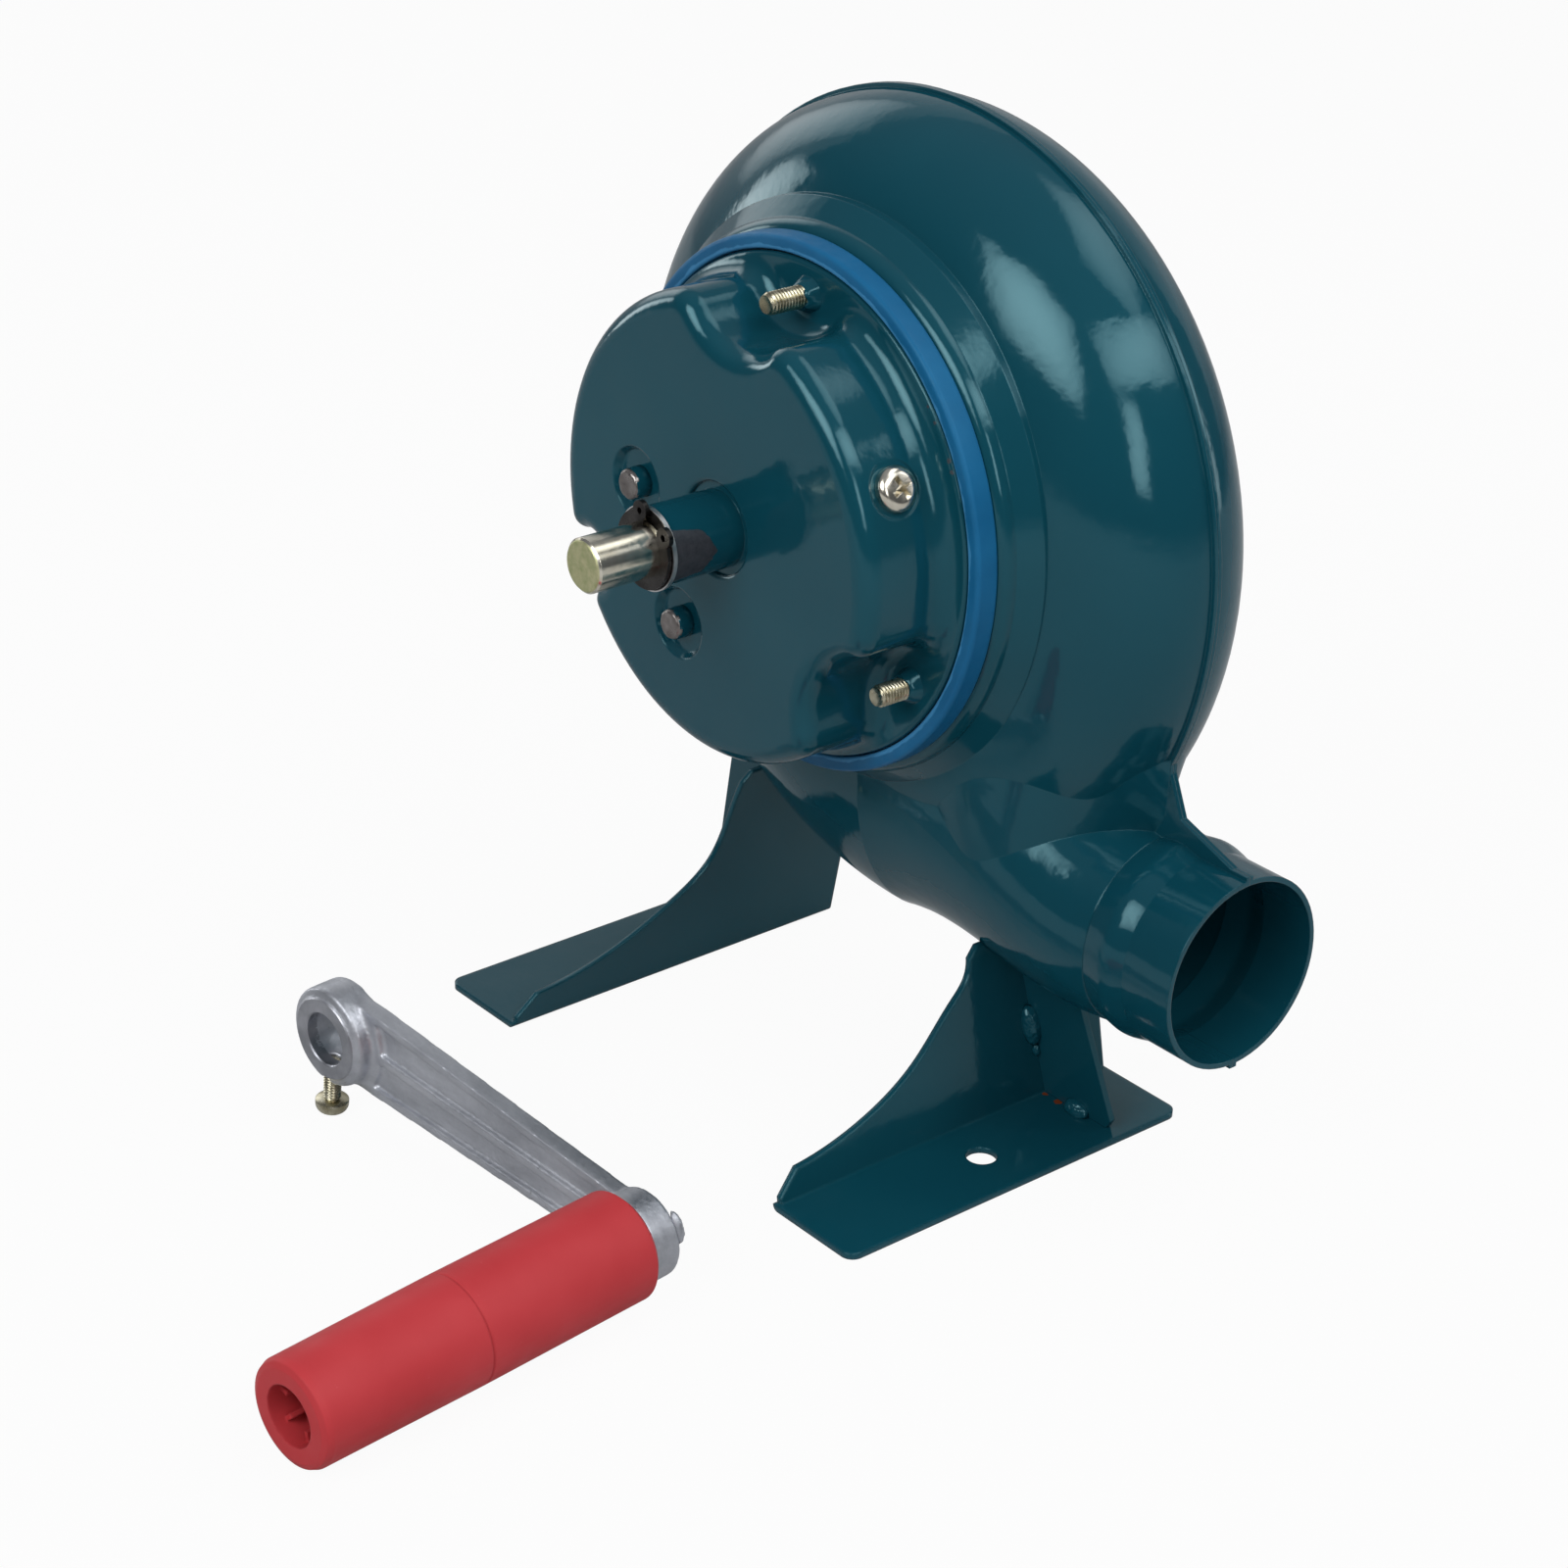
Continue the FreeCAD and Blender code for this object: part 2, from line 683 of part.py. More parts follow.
def gear_wire(teeth, y, turn, place):
    """Outline of a spur gear; turn is the angle of the middle of one tooth."""
    pitch = module * teeth / 2
    base = pitch * math.cos(math.radians(pressure_angle))
    tip = pitch + module
    root = pitch - module * tooth_root
    start = max(base, root + 0.15)
    half_pitch = math.pi / (2 * teeth) - backlash / (4 * pitch) + involute(base, pitch)
    radii = [start, (start + pitch) / 2, pitch, (pitch + tip) / 2, tip]
    flank = [(r, half_pitch - involute(base, r)) for r in radii]
    step = 2 * math.pi / teeth

    def at(radius, angle):
        return V(place.x + radius * math.cos(angle), y, place.z + radius * math.sin(angle))

    edges = []
    for k in range(teeth):
        mid = math.radians(turn) + k * step
        rise = [at(r, mid - a) for r, a in flank]
        fall = [at(r, mid + a) for r, a in reversed(flank)]
        foot_in = at(root, mid - flank[0][1])
        foot_out = at(root, mid + flank[0][1])
        next_foot = at(root, mid + step - flank[0][1])
        edges.append(line(foot_in, rise[0]))
        up = Part.BSplineCurve()
        up.interpolate(rise)
        edges.append(up.toShape())
        edges.append(line(rise[-1], fall[0]))
        down = Part.BSplineCurve()
        down.interpolate(fall)
        edges.append(down.toShape())
        edges.append(line(fall[-1], foot_out))
        edges.append(line(foot_out, next_foot))
    return Part.Wire(edges)


def gear(teeth, y0, y1, turn, place):
    return Part.Face(gear_wire(teeth, y0, turn, place)).extrude(V(0, y1 - y0, 0))


def direction(a, b):
    return math.degrees(math.atan2(b.z - a.z, b.x - a.x))


def mesh_turn(teeth, place, mate_teeth, mate_place, mate_turn):
    """Turn that puts a gap of this gear on the mate's tooth along the line of centres."""
    to_mate = direction(place, mate_place)
    from_mate = direction(mate_place, place)
    mate_step = 360.0 / mate_teeth
    lead = ((from_mate - mate_turn) / mate_step) % 1.0
    step = 360.0 / teeth
    return to_mate + step / 2 + lead * step


def make_gears():
    axis = V(0, 0, shaft_height)
    place_a = pin_a_place()
    place_b = pin_b_place()
    turn_a = mesh_turn(pinion_a_teeth, place_a, drive_teeth, axis, 0.0)
    turn_b = mesh_turn(pinion_b_teeth, place_b, gear_a_teeth, place_a, turn_a)
    turn_fan = mesh_turn(fan_pinion_teeth, axis, gear_b_teeth, place_b, turn_b)
    drive = gear(drive_teeth, drive_gear_front, drive_gear_back, 0.0, axis)
    drive = drive.cut(along_y(shaft_radius, drive_gear_front - 1, drive_gear_back + 1))
    hub_back = plate_front - end_play
    pinion_a = gear(pinion_a_teeth, drive_gear_front, gear_a_front, turn_a, place_a)
    wheel_a = gear(gear_a_teeth, gear_a_front, gear_a_back, turn_a, place_a)
    hub_a = along_y_at(hub_a_radius, gear_a_back, hub_back, place_a)
    cluster_a = fuse(pinion_a, wheel_a, hub_a)
    cluster_a = cluster_a.cut(along_y_at(pin_radius + run_gap, face_y, plate_back, place_a))
    pinion_b = gear(pinion_b_teeth, gear_a_front, gear_b_front, turn_b, place_b)
    wheel_b = gear(gear_b_teeth, gear_b_front, gear_b_back, turn_b, place_b)
    hub_b = along_y_at(hub_b_radius, gear_b_back, hub_back, place_b)
    cluster_b = fuse(pinion_b, wheel_b, hub_b)
    cluster_b = cluster_b.cut(along_y_at(pin_radius + run_gap, face_y, plate_back, place_b))
    fan_pinion = gear(fan_pinion_teeth, gear_b_front, gear_b_back, turn_fan, axis)
    fan_pinion = fan_pinion.cut(along_y(spindle_radius, gear_b_front - 1, gear_b_back + 1))
    return drive, cluster_a, cluster_b, fan_pinion


# ---------------------------------------------------------------- drive shaft
def ring_place():
    return seam_y - bush_front - end_play - washer_thick - ring_thick


def make_drive_shaft():
    tip = seam_y - shaft_tip
    shaft = along_y(shaft_radius, tip, shaft_back)
    shaft = shaft.makeChamfer(shaft_chamfer, [e for e in shaft.Edges
                                              if abs(e.CenterOfMass.y - tip) < 0.01])
    groove = tube_y(shaft_radius + 1, shaft_radius - ring_depth, ring_place(),
                    ring_place() + ring_thick)
    pilot = along_y(spindle_radius + run_gap, shaft_back - spindle_pilot - 0.5, shaft_back + 1)
    return shaft.cut(groove).cut(pilot)


def make_retaining_ring():
    """Open ring in the shaft's groove, with an ear on each side of its gap."""
    y0 = ring_place()
    y1 = y0 + ring_thick
    ring_piece = tube_y(ring_radius, shaft_radius - ring_depth, y0, y1)
    spread = ring_opening / 2
    mouth = Part.Face(polygon([
        polar(0, 0, y0 - 1),
        polar(ring_radius * 2, ring_opening_at - spread, y0 - 1),
        polar(ring_radius * 2, ring_opening_at + spread, y0 - 1),
    ])).extrude(V(0, ring_thick + 2, 0))
    ring_piece = ring_piece.cut(mouth)
    for side in (-1, 1):
        ear = polar(ring_ear_at, ring_opening_at + side * (spread + ring_ear_inset))
        lug = along_y_at(ring_ear, y0, y1, ear)
        lug = lug.cut(along_y(shaft_radius + run_gap, y0 - 1, y1 + 1))
        ring_piece = ring_piece.fuse(lug)
        ring_piece = ring_piece.cut(along_y_at(ring_ear_hole, y0 - 1, y1 + 1, ear))
    return ring_piece.removeSplitter()


def make_washer():
    y0 = ring_place() + ring_thick
    return tube_y(washer_radius, shaft_radius + run_gap, y0, y0 + washer_thick)


# ---------------------------------------------------------------- fan
def make_spindle_bush():
    y0 = plate_front - spindle_bush_flange
    tube = along_y(spindle_bush_radius, y0, y0 + spindle_bush_length)
    flange = along_y(spindle_bush_flange_radius, y0, plate_front)
    return fuse(tube, flange).cut(along_y(spindle_radius + run_gap, y0 - 1,
                                          y0 + spindle_bush_length + 1))


def make_fan():
    disc_y = seam_y - fan_disc_front
    hub_front = disc_y - fan_hub_flange
    hub_back = disc_y + fan_hub_length
    nut_back = hub_back + nut_height
    spindle_front = shaft_back - spindle_pilot
    spindle = along_y(spindle_radius, spindle_front, nut_back + spindle_past_nut)
    hub = fuse(along_y(fan_hub_radius, hub_front, hub_back),
               along_y(fan_hub_flange_radius, hub_front, disc_y))
    hub = hub.cut(along_y(spindle_radius, hub_front - 1, hub_back + 1))
    disc = along_y(fan_radius, disc_y, disc_y + fan_sheet)
    disc = disc.cut(along_y(fan_hub_radius, disc_y - 1, disc_y + fan_sheet + 1))
    blades = [blade(k * 360.0 / blade_count, disc_y + fan_sheet) for k in range(blade_count)]
    impeller = disc.multiFuse(blades)
    hexagon = [polar(nut_across / math.sqrt(3), 60 * k, hub_back) for k in range(6)]
    nut = Part.Face(polygon(hexagon)).extrude(V(0, nut_height, 0))
    nut = nut.cut(along_y(spindle_radius, hub_back - 1, nut_back + 1))
    return spindle, hub, impeller, nut


def blade(angle, y):
    """One blade, a sheet that bows backwards on its way out."""
    root = V(blade_inner, y, shaft_height)
    tip = V(fan_radius - 0.5, y, shaft_height)
    chord = tip.x - root.x
    sag = blade_bow - math.sqrt(blade_bow ** 2 - (chord / 2) ** 2)
    middle = V((root.x + tip.x) / 2, y, shaft_height + sag)
    back = V(0, 0, fan_sheet)
    outer = Part.Arc(root + back, middle + back, tip + back).toShape()
    inner = Part.Arc(root, middle, tip).toShape()
    wire = Part.Wire([inner, line(tip, tip + back), outer, line(root + back, root)])
    sheet = Part.Face(wire).extrude(V(0, fan_width - fan_sheet, 0))
    sheet.rotate(V(0, 0, shaft_height), V(0, -1, 0), angle)
    return sheet


# ---------------------------------------------------------------- stand
def web_outline(height):
    """Side view of a foot: a low toe that sweeps up to the casing, seen along X."""
    front = -foot_length / 2
    back = foot_length / 2
    upright = seam_y - web_back
    toe = front + toe_back
    top = V(0, upright, height - 2.5)
    sweep = Part.BSplineCurve()
    sweep.interpolate([
        V(0, front + toe_run, web_toe),
        V(0, upright - 36.5, web_toe + 3.3),
        V(0, upright - 17.5, web_toe + 12.3),
        V(0, upright - 6.0, web_toe + 22.0),
        V(0, upright - 1.2, height - 6.5),
        top,
    ])
    corners = [top, V(0, upright + 2.5, height), V(0, back, height), V(0, back, -1),
               V(0, front, -1), V(0, front, foot_sheet), V(0, toe, foot_sheet),
               V(0, toe, foot_sheet + toe_back), V(0, front + toe_run, web_toe)]
    sides = [line(a, b) for a, b in zip(corners, corners[1:])]
    return Part.Wire([sweep.toShape()] + sides)


def make_foot(side, height, casing):
    """One foot: a flange on the ground and a web bent up from its inner edge."""
    bend_x = foot_span / 2
    lean = math.radians(web_lean)
    front = -foot_length / 2
    inner = bend_x - foot_sheet / math.cos(lean)
    rise = height - foot_sheet
    section = polygon([
        V(bend_x + foot_width, front, 0), V(bend_x + foot_width, front, foot_sheet),
        V(bend_x, front, foot_sheet),
        V(bend_x - rise * math.tan(lean), front, height),
        V(inner - rise * math.tan(lean), front, height),
        V(inner + foot_sheet * math.tan(lean), front, 0),
    ])
    foot = Part.Face(section).extrude(V(0, foot_length, 0))
    bend = [e for e in foot.Edges
            if abs(e.Length - foot_length) < 0.01
            and e.CenterOfMass.z < 0.01 and e.CenterOfMass.x < bend_x]
    foot = foot.makeFillet(foot_sheet, bend)
    corners = [e for e in foot.Edges
               if abs(e.Length - foot_sheet) < 0.01
               and abs(e.CenterOfMass.x - bend_x - foot_width) < 0.01]
    foot = foot.makeFillet(foot_corner, corners)
    side_view = Part.Face(web_outline(height)).extrude(V(2 * bend_x, 0, 0))
    foot = foot.common(side_view)
    foot = foot.cut(Part.makeCylinder(foot_hole / 2, foot_sheet * 3,
                                      V(bend_x + foot_hole_out, 0, -foot_sheet)))
    if side < 0:
        foot = foot.mirror(V(0, 0, 0), V(1, 0, 0))
    return largest(foot.cut(casing))


def web_face_x(z):
    """X of the web's outer face at a height, on the right foot."""
    return foot_span / 2 - (z - foot_sheet) * math.tan(math.radians(web_lean))


def make_gusset(side, height, casing, foot):
    """Triangular plate in the corner of the flange and the web, under the seam."""
    low = foot_sheet
    x_low = web_face_x(low)
    x_high = web_face_x(height)
    plate = Part.Face(polygon([
        V(x_low, 0, low), V(x_low + gusset_reach - 1.5, 0, low),
        V(x_low + gusset_reach, 0, low + 2.5),
        V(x_high + gusset_top_reach, 0, height), V(x_high, 0, height),
    ])).extrude(V(0, gusset_sheet, 0))
    plate.translate(V(0, seam_y - gusset_sheet, 0))
    plate.rotate(V(0, seam_y - gusset_sheet, low), V(1, 0, 0), gusset_tilt)
    plate = plate.cut(Part.makeBox(300, 300, 60, V(-150, -150, low - 60)))
    if side < 0:
        plate = plate.mirror(V(0, 0, 0), V(1, 0, 0))
    return largest(plate.cut([casing, foot]))


# ---------------------------------------------------------------- crank
# The crank is drawn with its hub's face at the origin, its bore along Y and its arm to +X.
def make_crank_arm():
    """Die-cast arm: a ringed hub, a ribbed web and a boss that carries the grip."""
    hub = along_y(hub_radius, hub_ring, hub_length, 0, 0)
    hub = hub.makeFillet(1.0, [e for e in hub.Edges
                               if abs(e.CenterOfMass.y - hub_ring) < 0.01])
    face = along_y(hub_ring_radius, 0, hub_ring, 0, 0)
    arm_rear = arm_front + arm_thick
    boss = along_y(arm_end_radius, arm_end_front, arm_rear, crank_length, 0)
    recess = arm_plan(arm_front - 1, arm_recess + 1, arm_rib)
    recess = recess.cut(along_y(hub_radius + arm_rib, arm_front - 2, arm_rear, 0, 0))
    recess = recess.cut(along_y(arm_end_radius + arm_rib, arm_front - 2, arm_rear,
                                crank_length, 0))
    ridge = Part.makeBox(crank_length, arm_recess + 2, arm_ridge,
                         V(0, arm_front - 1, -arm_ridge / 2))
    recess = recess.cut(ridge)
    arm = arm_plan(arm_front, arm_thick, 0.0).cut(recess)
    crank = fuse(hub, face, arm, boss)
    bore = along_y(hub_bore, -1, hub_length + 1, 0, 0)
    mouth = Part.makeCone(hub_bore + hub_chamfer, hub_bore, hub_chamfer, V(0, 0, 0), NORTH)
    crank = crank.cut(bore).cut(mouth)
    crank = crank.cut(along_y(grip_pin_radius, arm_end_front - 1, arm_rear + 1,
                              crank_length, 0))
    tapped = Part.makeCylinder(set_screw_radius, hub_radius + 1,
                               V(0, screw_from_face, 0), V(0, 0, -1))
    return crank.cut(tapped)


def arm_plan(y0, depth, inset):
    """Tapered arm between the hub and the grip boss, seen from the front."""
    near = arm_width_hub / 2 - inset
    far = arm_width_grip / 2 - inset
    return Part.Face(polygon([
        V(0, y0, near), V(crank_length, y0, far),
        V(crank_length, y0, -far), V(0, y0, -near),
    ])).extrude(V(0, depth, 0))


def make_set_screw():
    head_top = crank_hub_z / math.cos(math.radians(crank_roll)) - 0.35
    shank = Part.makeCylinder(set_screw_radius, head_top - hub_bore - 0.6,
                              V(0, screw_from_face, -hub_bore - 0.6), V(0, 0, -1))
    head = Part.makeCylinder(set_screw_head_radius, set_screw_head,
                             V(0, screw_from_face, -head_top + set_screw_head), V(0, 0, -1))
    head = head.makeFillet(1.0, [e for e in head.Edges
                                 if abs(e.CenterOfMass.z + head_top) < 0.01])
    return fuse(shank, head)


def make_grip():
    """Turning grip: two lengths that meet at a part line, hollow from its free end."""
    free = -grip_front
    inner = arm_end_front - end_play
    part = free + grip_part
    groove = grip_part_groove

    def at(radius, y):
        return V(crank_length + radius, y, 0)

    body = spin([
        at(0, free), at(grip_end_radius - grip_round, free),
        at(grip_end_radius - grip_round * 0.3, free + grip_round * 0.3),
        at(grip_end_radius, free + grip_round),
        at(grip_radius, part - groove), at(grip_radius - groove, part),
        at(grip_radius, part + groove), at(grip_radius, inner - grip_round * 0.6),
        at(grip_radius - grip_round * 0.6, inner), at(0, inner),
    ], V(crank_length, 0, 0))
    hollow = along_y(grip_hole, free - 1, inner - grip_wall, crank_length, 0)
    body = body.cut(hollow)
    for k in range(grip_rib_count):
        rib = Part.makeBox(grip_hole - grip_rib_inner + 0.5, grip_front - grip_wall - 14, grip_rib,
                           V(crank_length + grip_rib_inner, free + 3, -grip_rib / 2))
        rib.rotate(V(crank_length, 0, 0), NORTH, k * 360.0 / grip_rib_count + 12)
        body = body.fuse(rib)
    bore = along_y(grip_pin_radius + run_gap, free, inner + 1, crank_length, 0)
    return body.cut(bore).removeSplitter()


def make_grip_pin():
    """Pin that carries the grip, headed inside it and riveted behind the arm."""
    seat = arm_end_front - end_play - grip_wall - end_play
    back = arm_front + arm_thick + rivet_washer
    shank = along_y(grip_pin_radius, seat - grip_pin_head, back, crank_length, 0)
    head = along_y(grip_pin_head_radius, seat - grip_pin_head, seat, crank_length, 0)
    tail = Part.makeCone(rivet_head_radius, rivet_head_radius * 0.6, rivet_head,
                         V(crank_length, back, 0), NORTH)
    washer = tube_y(rivet_washer_radius, grip_pin_radius, back - rivet_washer, back,
                    crank_length, 0)
    return fuse(shank, head, tail), washer


def lay_down(shape):
    """Put a crank piece where the crank lies on the ground."""
    roll = FreeCAD.Rotation(NORTH, -crank_roll)
    yaw = FreeCAD.Rotation(V(0, 0, 1), crank_yaw)
    place = FreeCAD.Placement(V(crank_hub_x, seam_y + crank_hub_y, crank_hub_z),
                              yaw.multiply(roll))
    moved = shape.copy()
    moved.transformShape(place.toMatrix())
    return moved


# ---------------------------------------------------------------- build and write
def build():
    """All pieces by name, each where it sits when the crank is off."""
    front_shell = make_front_shell()
    rear_shell = make_rear_shell()
    cover = make_cover()
    drive_gear, cluster_a, cluster_b, fan_pinion = make_gears()
    spindle, fan_hub, impeller, fan_nut = make_fan()
    grip_pin, rivet_washer_piece = make_grip_pin()
    casing = casing_form(0).multiFuse([seam_lip(True), seam_lip(False)])
    right_foot = make_foot(1, right_web_height, casing)
    left_foot = make_foot(-1, left_web_height, casing)
    studs = {f"gearbox_stud_{k}": stud for k, stud in enumerate(make_studs(), 1)}
    return studs | {
        "front_shell": front_shell,
        "rear_shell": rear_shell,
        "gearbox_gasket": make_gasket(),
        "gearbox_back_plate": make_back_plate(),
        "gearbox_cover": cover,
        "shaft_bush": make_bush(),
        "gear_pin_a": make_pin(pin_a_place(), drive_gear_front - end_play),
        "gear_pin_b": make_pin(pin_b_place(), gear_a_front - end_play),
        "stud_tacks": make_stud_tacks(cover),
        "filler_screw": make_filler_screw(),
        "spindle_bush": make_spindle_bush(),
        "right_foot": right_foot,
        "left_foot": left_foot,
        "right_gusset": make_gusset(1, right_web_height + 6, casing, right_foot),
        "left_gusset": make_gusset(-1, left_web_height + 6, casing, left_foot),
        "drive_shaft": make_drive_shaft(),
        "drive_gear": drive_gear,
        "retaining_ring": make_retaining_ring(),
        "thrust_washer": make_washer(),
        "cluster_gear_a": cluster_a,
        "cluster_gear_b": cluster_b,
        "fan_spindle": spindle,
        "fan_pinion": fan_pinion,
        "fan_hub": fan_hub,
        "fan_impeller": impeller,
        "fan_nut": fan_nut,
        "crank_arm": lay_down(make_crank_arm()),
        "crank_set_screw": lay_down(make_set_screw()),
        "grip_pin": lay_down(grip_pin),
        "rivet_washer": lay_down(rivet_washer_piece),
        "crank_grip": lay_down(make_grip()),
    }


os.makedirs("parts", exist_ok=True)
for name, shape in build().items():
    shape.exportStep(os.path.join("parts", name + ".step"))
    print(name, len(shape.Solids), round(shape.Volume, 1), shape.isValid())
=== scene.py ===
import json
import math

import bmesh
import bpy
from mathutils import Matrix, Vector, noise


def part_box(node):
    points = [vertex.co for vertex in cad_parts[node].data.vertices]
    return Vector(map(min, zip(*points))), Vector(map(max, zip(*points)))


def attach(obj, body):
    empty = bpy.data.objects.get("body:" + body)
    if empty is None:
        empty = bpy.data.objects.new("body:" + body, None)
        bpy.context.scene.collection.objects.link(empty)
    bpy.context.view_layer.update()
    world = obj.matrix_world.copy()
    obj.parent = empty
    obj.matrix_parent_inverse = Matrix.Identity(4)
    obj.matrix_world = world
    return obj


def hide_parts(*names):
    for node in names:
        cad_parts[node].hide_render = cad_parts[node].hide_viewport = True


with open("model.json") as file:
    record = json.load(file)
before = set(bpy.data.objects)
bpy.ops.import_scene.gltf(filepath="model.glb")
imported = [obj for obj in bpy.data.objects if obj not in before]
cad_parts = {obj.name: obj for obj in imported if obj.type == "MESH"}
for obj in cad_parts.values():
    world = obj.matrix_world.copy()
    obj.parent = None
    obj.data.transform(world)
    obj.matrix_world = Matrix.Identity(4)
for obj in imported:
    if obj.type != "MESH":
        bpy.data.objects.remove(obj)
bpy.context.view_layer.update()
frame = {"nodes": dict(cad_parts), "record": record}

nodes = frame["nodes"]

MM = 0.001

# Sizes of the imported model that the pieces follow, in millimetres and degrees.
SEAM_Y = 31.5                            # where the casing's two halves meet
SHAFT_Z = 137.4                          # height of the drive shaft
SHAFT_END_Y = -63.8                      # sawn end of the drive shaft
FLANGE_Y = -8.0                          # front of the gearbox cover's flange
WASHER_RIM = 8.95                        # radius at which the washer's face turns bright
STUD_CIRCLE = 48.6
STUDS = ((86.0, 11.7), (-34.0, 10.0), (206.0, 11.0))     # angle round the shaft, length
STUD_RADIUS = 2.45
STUD_BACK_Y = 1.4                        # back of the studs' heads, inside the casing
GASKET_RADII = (59.0, 55.6, 47.0)        # outside, inside of the lip, inside of the base
GASKET_BASE = 2.0                        # thickness of the base
FILLER_ANGLE = 25.0
FILLER_Y = -18.3
FILLER_SEAT = 48.14                      # distance of the screw's seat from the shaft
CRANK_HUB = (-41.3, -104.6, 20.2)
CRANK_YAW = 5.6
CRANK_ROLL = 4.65

# Bare chips on the cover's rim and rust at the right foot's weld: point, radius.
CHIPS = (((41.5, -8.0, 172.6), 0.45), ((43.8, -8.0, 169.7), 0.45),
         ((48.3, -7.9, 163.0), 0.6), ((49.3, -7.9, 160.8), 0.5))
RUST_SPOTS = (((54.9, 29.4, 1.5), 1.1), ((50.5, 29.2, 1.5), 0.7))

# Camera at the photograph's viewing angle, in metres.
CAMERA_PLACE = (0.5365, -0.4609, 0.4175)
CAMERA_RIGHT = (0.6354, 0.7718, 0.0244)
CAMERA_BACK = (0.6855, -0.5783, 0.4424)
FOCAL_PX = 3588.0
FRAME_PX = 1600.0
SENSOR = 36.0

# Studio. A share says how much of a surface is plain white instead of its own colour.
PAPER = (0.54, 0.54, 0.54)
PAPER_SHARE = 0.95                       # the rest keeps the object's shadow
PAPER_GLOSS = (0.05, 0.40)               # share that gloss sees, on the floor and high up
SKY_LOW = (0.060, 0.064, 0.072)
SKY_HIGH = (0.28, 0.29, 0.31)
SKY_WHITE = (0.97, 0.97, 0.97)
SKY_GLOSS = 0.04

# Soft boxes: azimuth and elevation, width and height in metres, power in watts.
LAMPS = {
    "front_box": (172, 34, 1.00, 0.80, 10.0),
    "right_box": (92, 46, 1.90, 0.50, 8.5),
    "camera_box": (118, 21, 0.40, 0.60, 2.2),
    "left_low_box": (-108, 4, 0.35, 0.90, 3.0),
    "left_panel": (-82, 24, 0.80, 0.90, 1.8),
    "rim_box": (38, 16, 0.35, 1.20, 3.0),
    "top_box": (40, 66, 1.10, 0.80, 4.2),
}
LAMP_DISTANCE = 1.5
LAMP_TARGET = (0, 0, 0.11)
BORDER_GAIN = 6.5                        # keeps a lamp's mean strength at about one

# Colours, in pairs where a surface wanders between two.
TEAL = ((0.0034, 0.050, 0.074), (0.0042, 0.059, 0.085))
TEAL_GLOSS = (0.50, 0.92, 1.0, 1.0)
DUST = (0.09, 0.17, 0.19)
RUST = (0.17, 0.035, 0.008)
BARE_STEEL = ((0.034, 0.034, 0.042), (0.062, 0.060, 0.070))
BLUE = ((0.006, 0.100, 0.235), (0.009, 0.124, 0.280))
BLUE_GLOSS = (0.45, 0.85, 1.0, 1.0)
# paler blue painted along the gasket lip's inner edge as a highlight
BLUE_HIGHLIGHT = (0.06, 0.26, 0.50)
RED = ((0.47, 0.036, 0.042), (0.53, 0.048, 0.056))
RED_SCUFF = (0.70, 0.20, 0.21)
CAST_SKIN = ((0.34, 0.355, 0.39), (0.63, 0.65, 0.70))
CAST_FLECK = (0.10, 0.105, 0.115)
MACHINED_SKIN = ((0.30, 0.31, 0.34), (0.44, 0.45, 0.49))
SHAFT_ZINC = ((0.60, 0.56, 0.44), (0.82, 0.79, 0.70))
SHAFT_SPECK = (0.20, 0.17, 0.11)
SHAFT_END = ((0.44, 0.47, 0.24), (0.62, 0.60, 0.36))
THREAD_ZINC = ((0.33, 0.30, 0.20), (0.60, 0.57, 0.44))
RING = ((0.035, 0.032, 0.031), (0.60, 0.60, 0.60))
PLAIN_STEEL = ((0.36, 0.36, 0.36), (0.52, 0.52, 0.51))
DARK_STEEL = ((0.030, 0.028, 0.027), (0.070, 0.066, 0.064))
PIN_STEEL = ((0.14, 0.125, 0.12), (0.30, 0.28, 0.27))
BRIGHT_ZINC = ((0.5, 0.51, 0.53), (0.7, 0.71, 0.73))
NICKEL = ((0.66, 0.62, 0.52), (0.80, 0.76, 0.66))
BRONZE = ((0.35, 0.2, 0.08), (0.5, 0.32, 0.14))


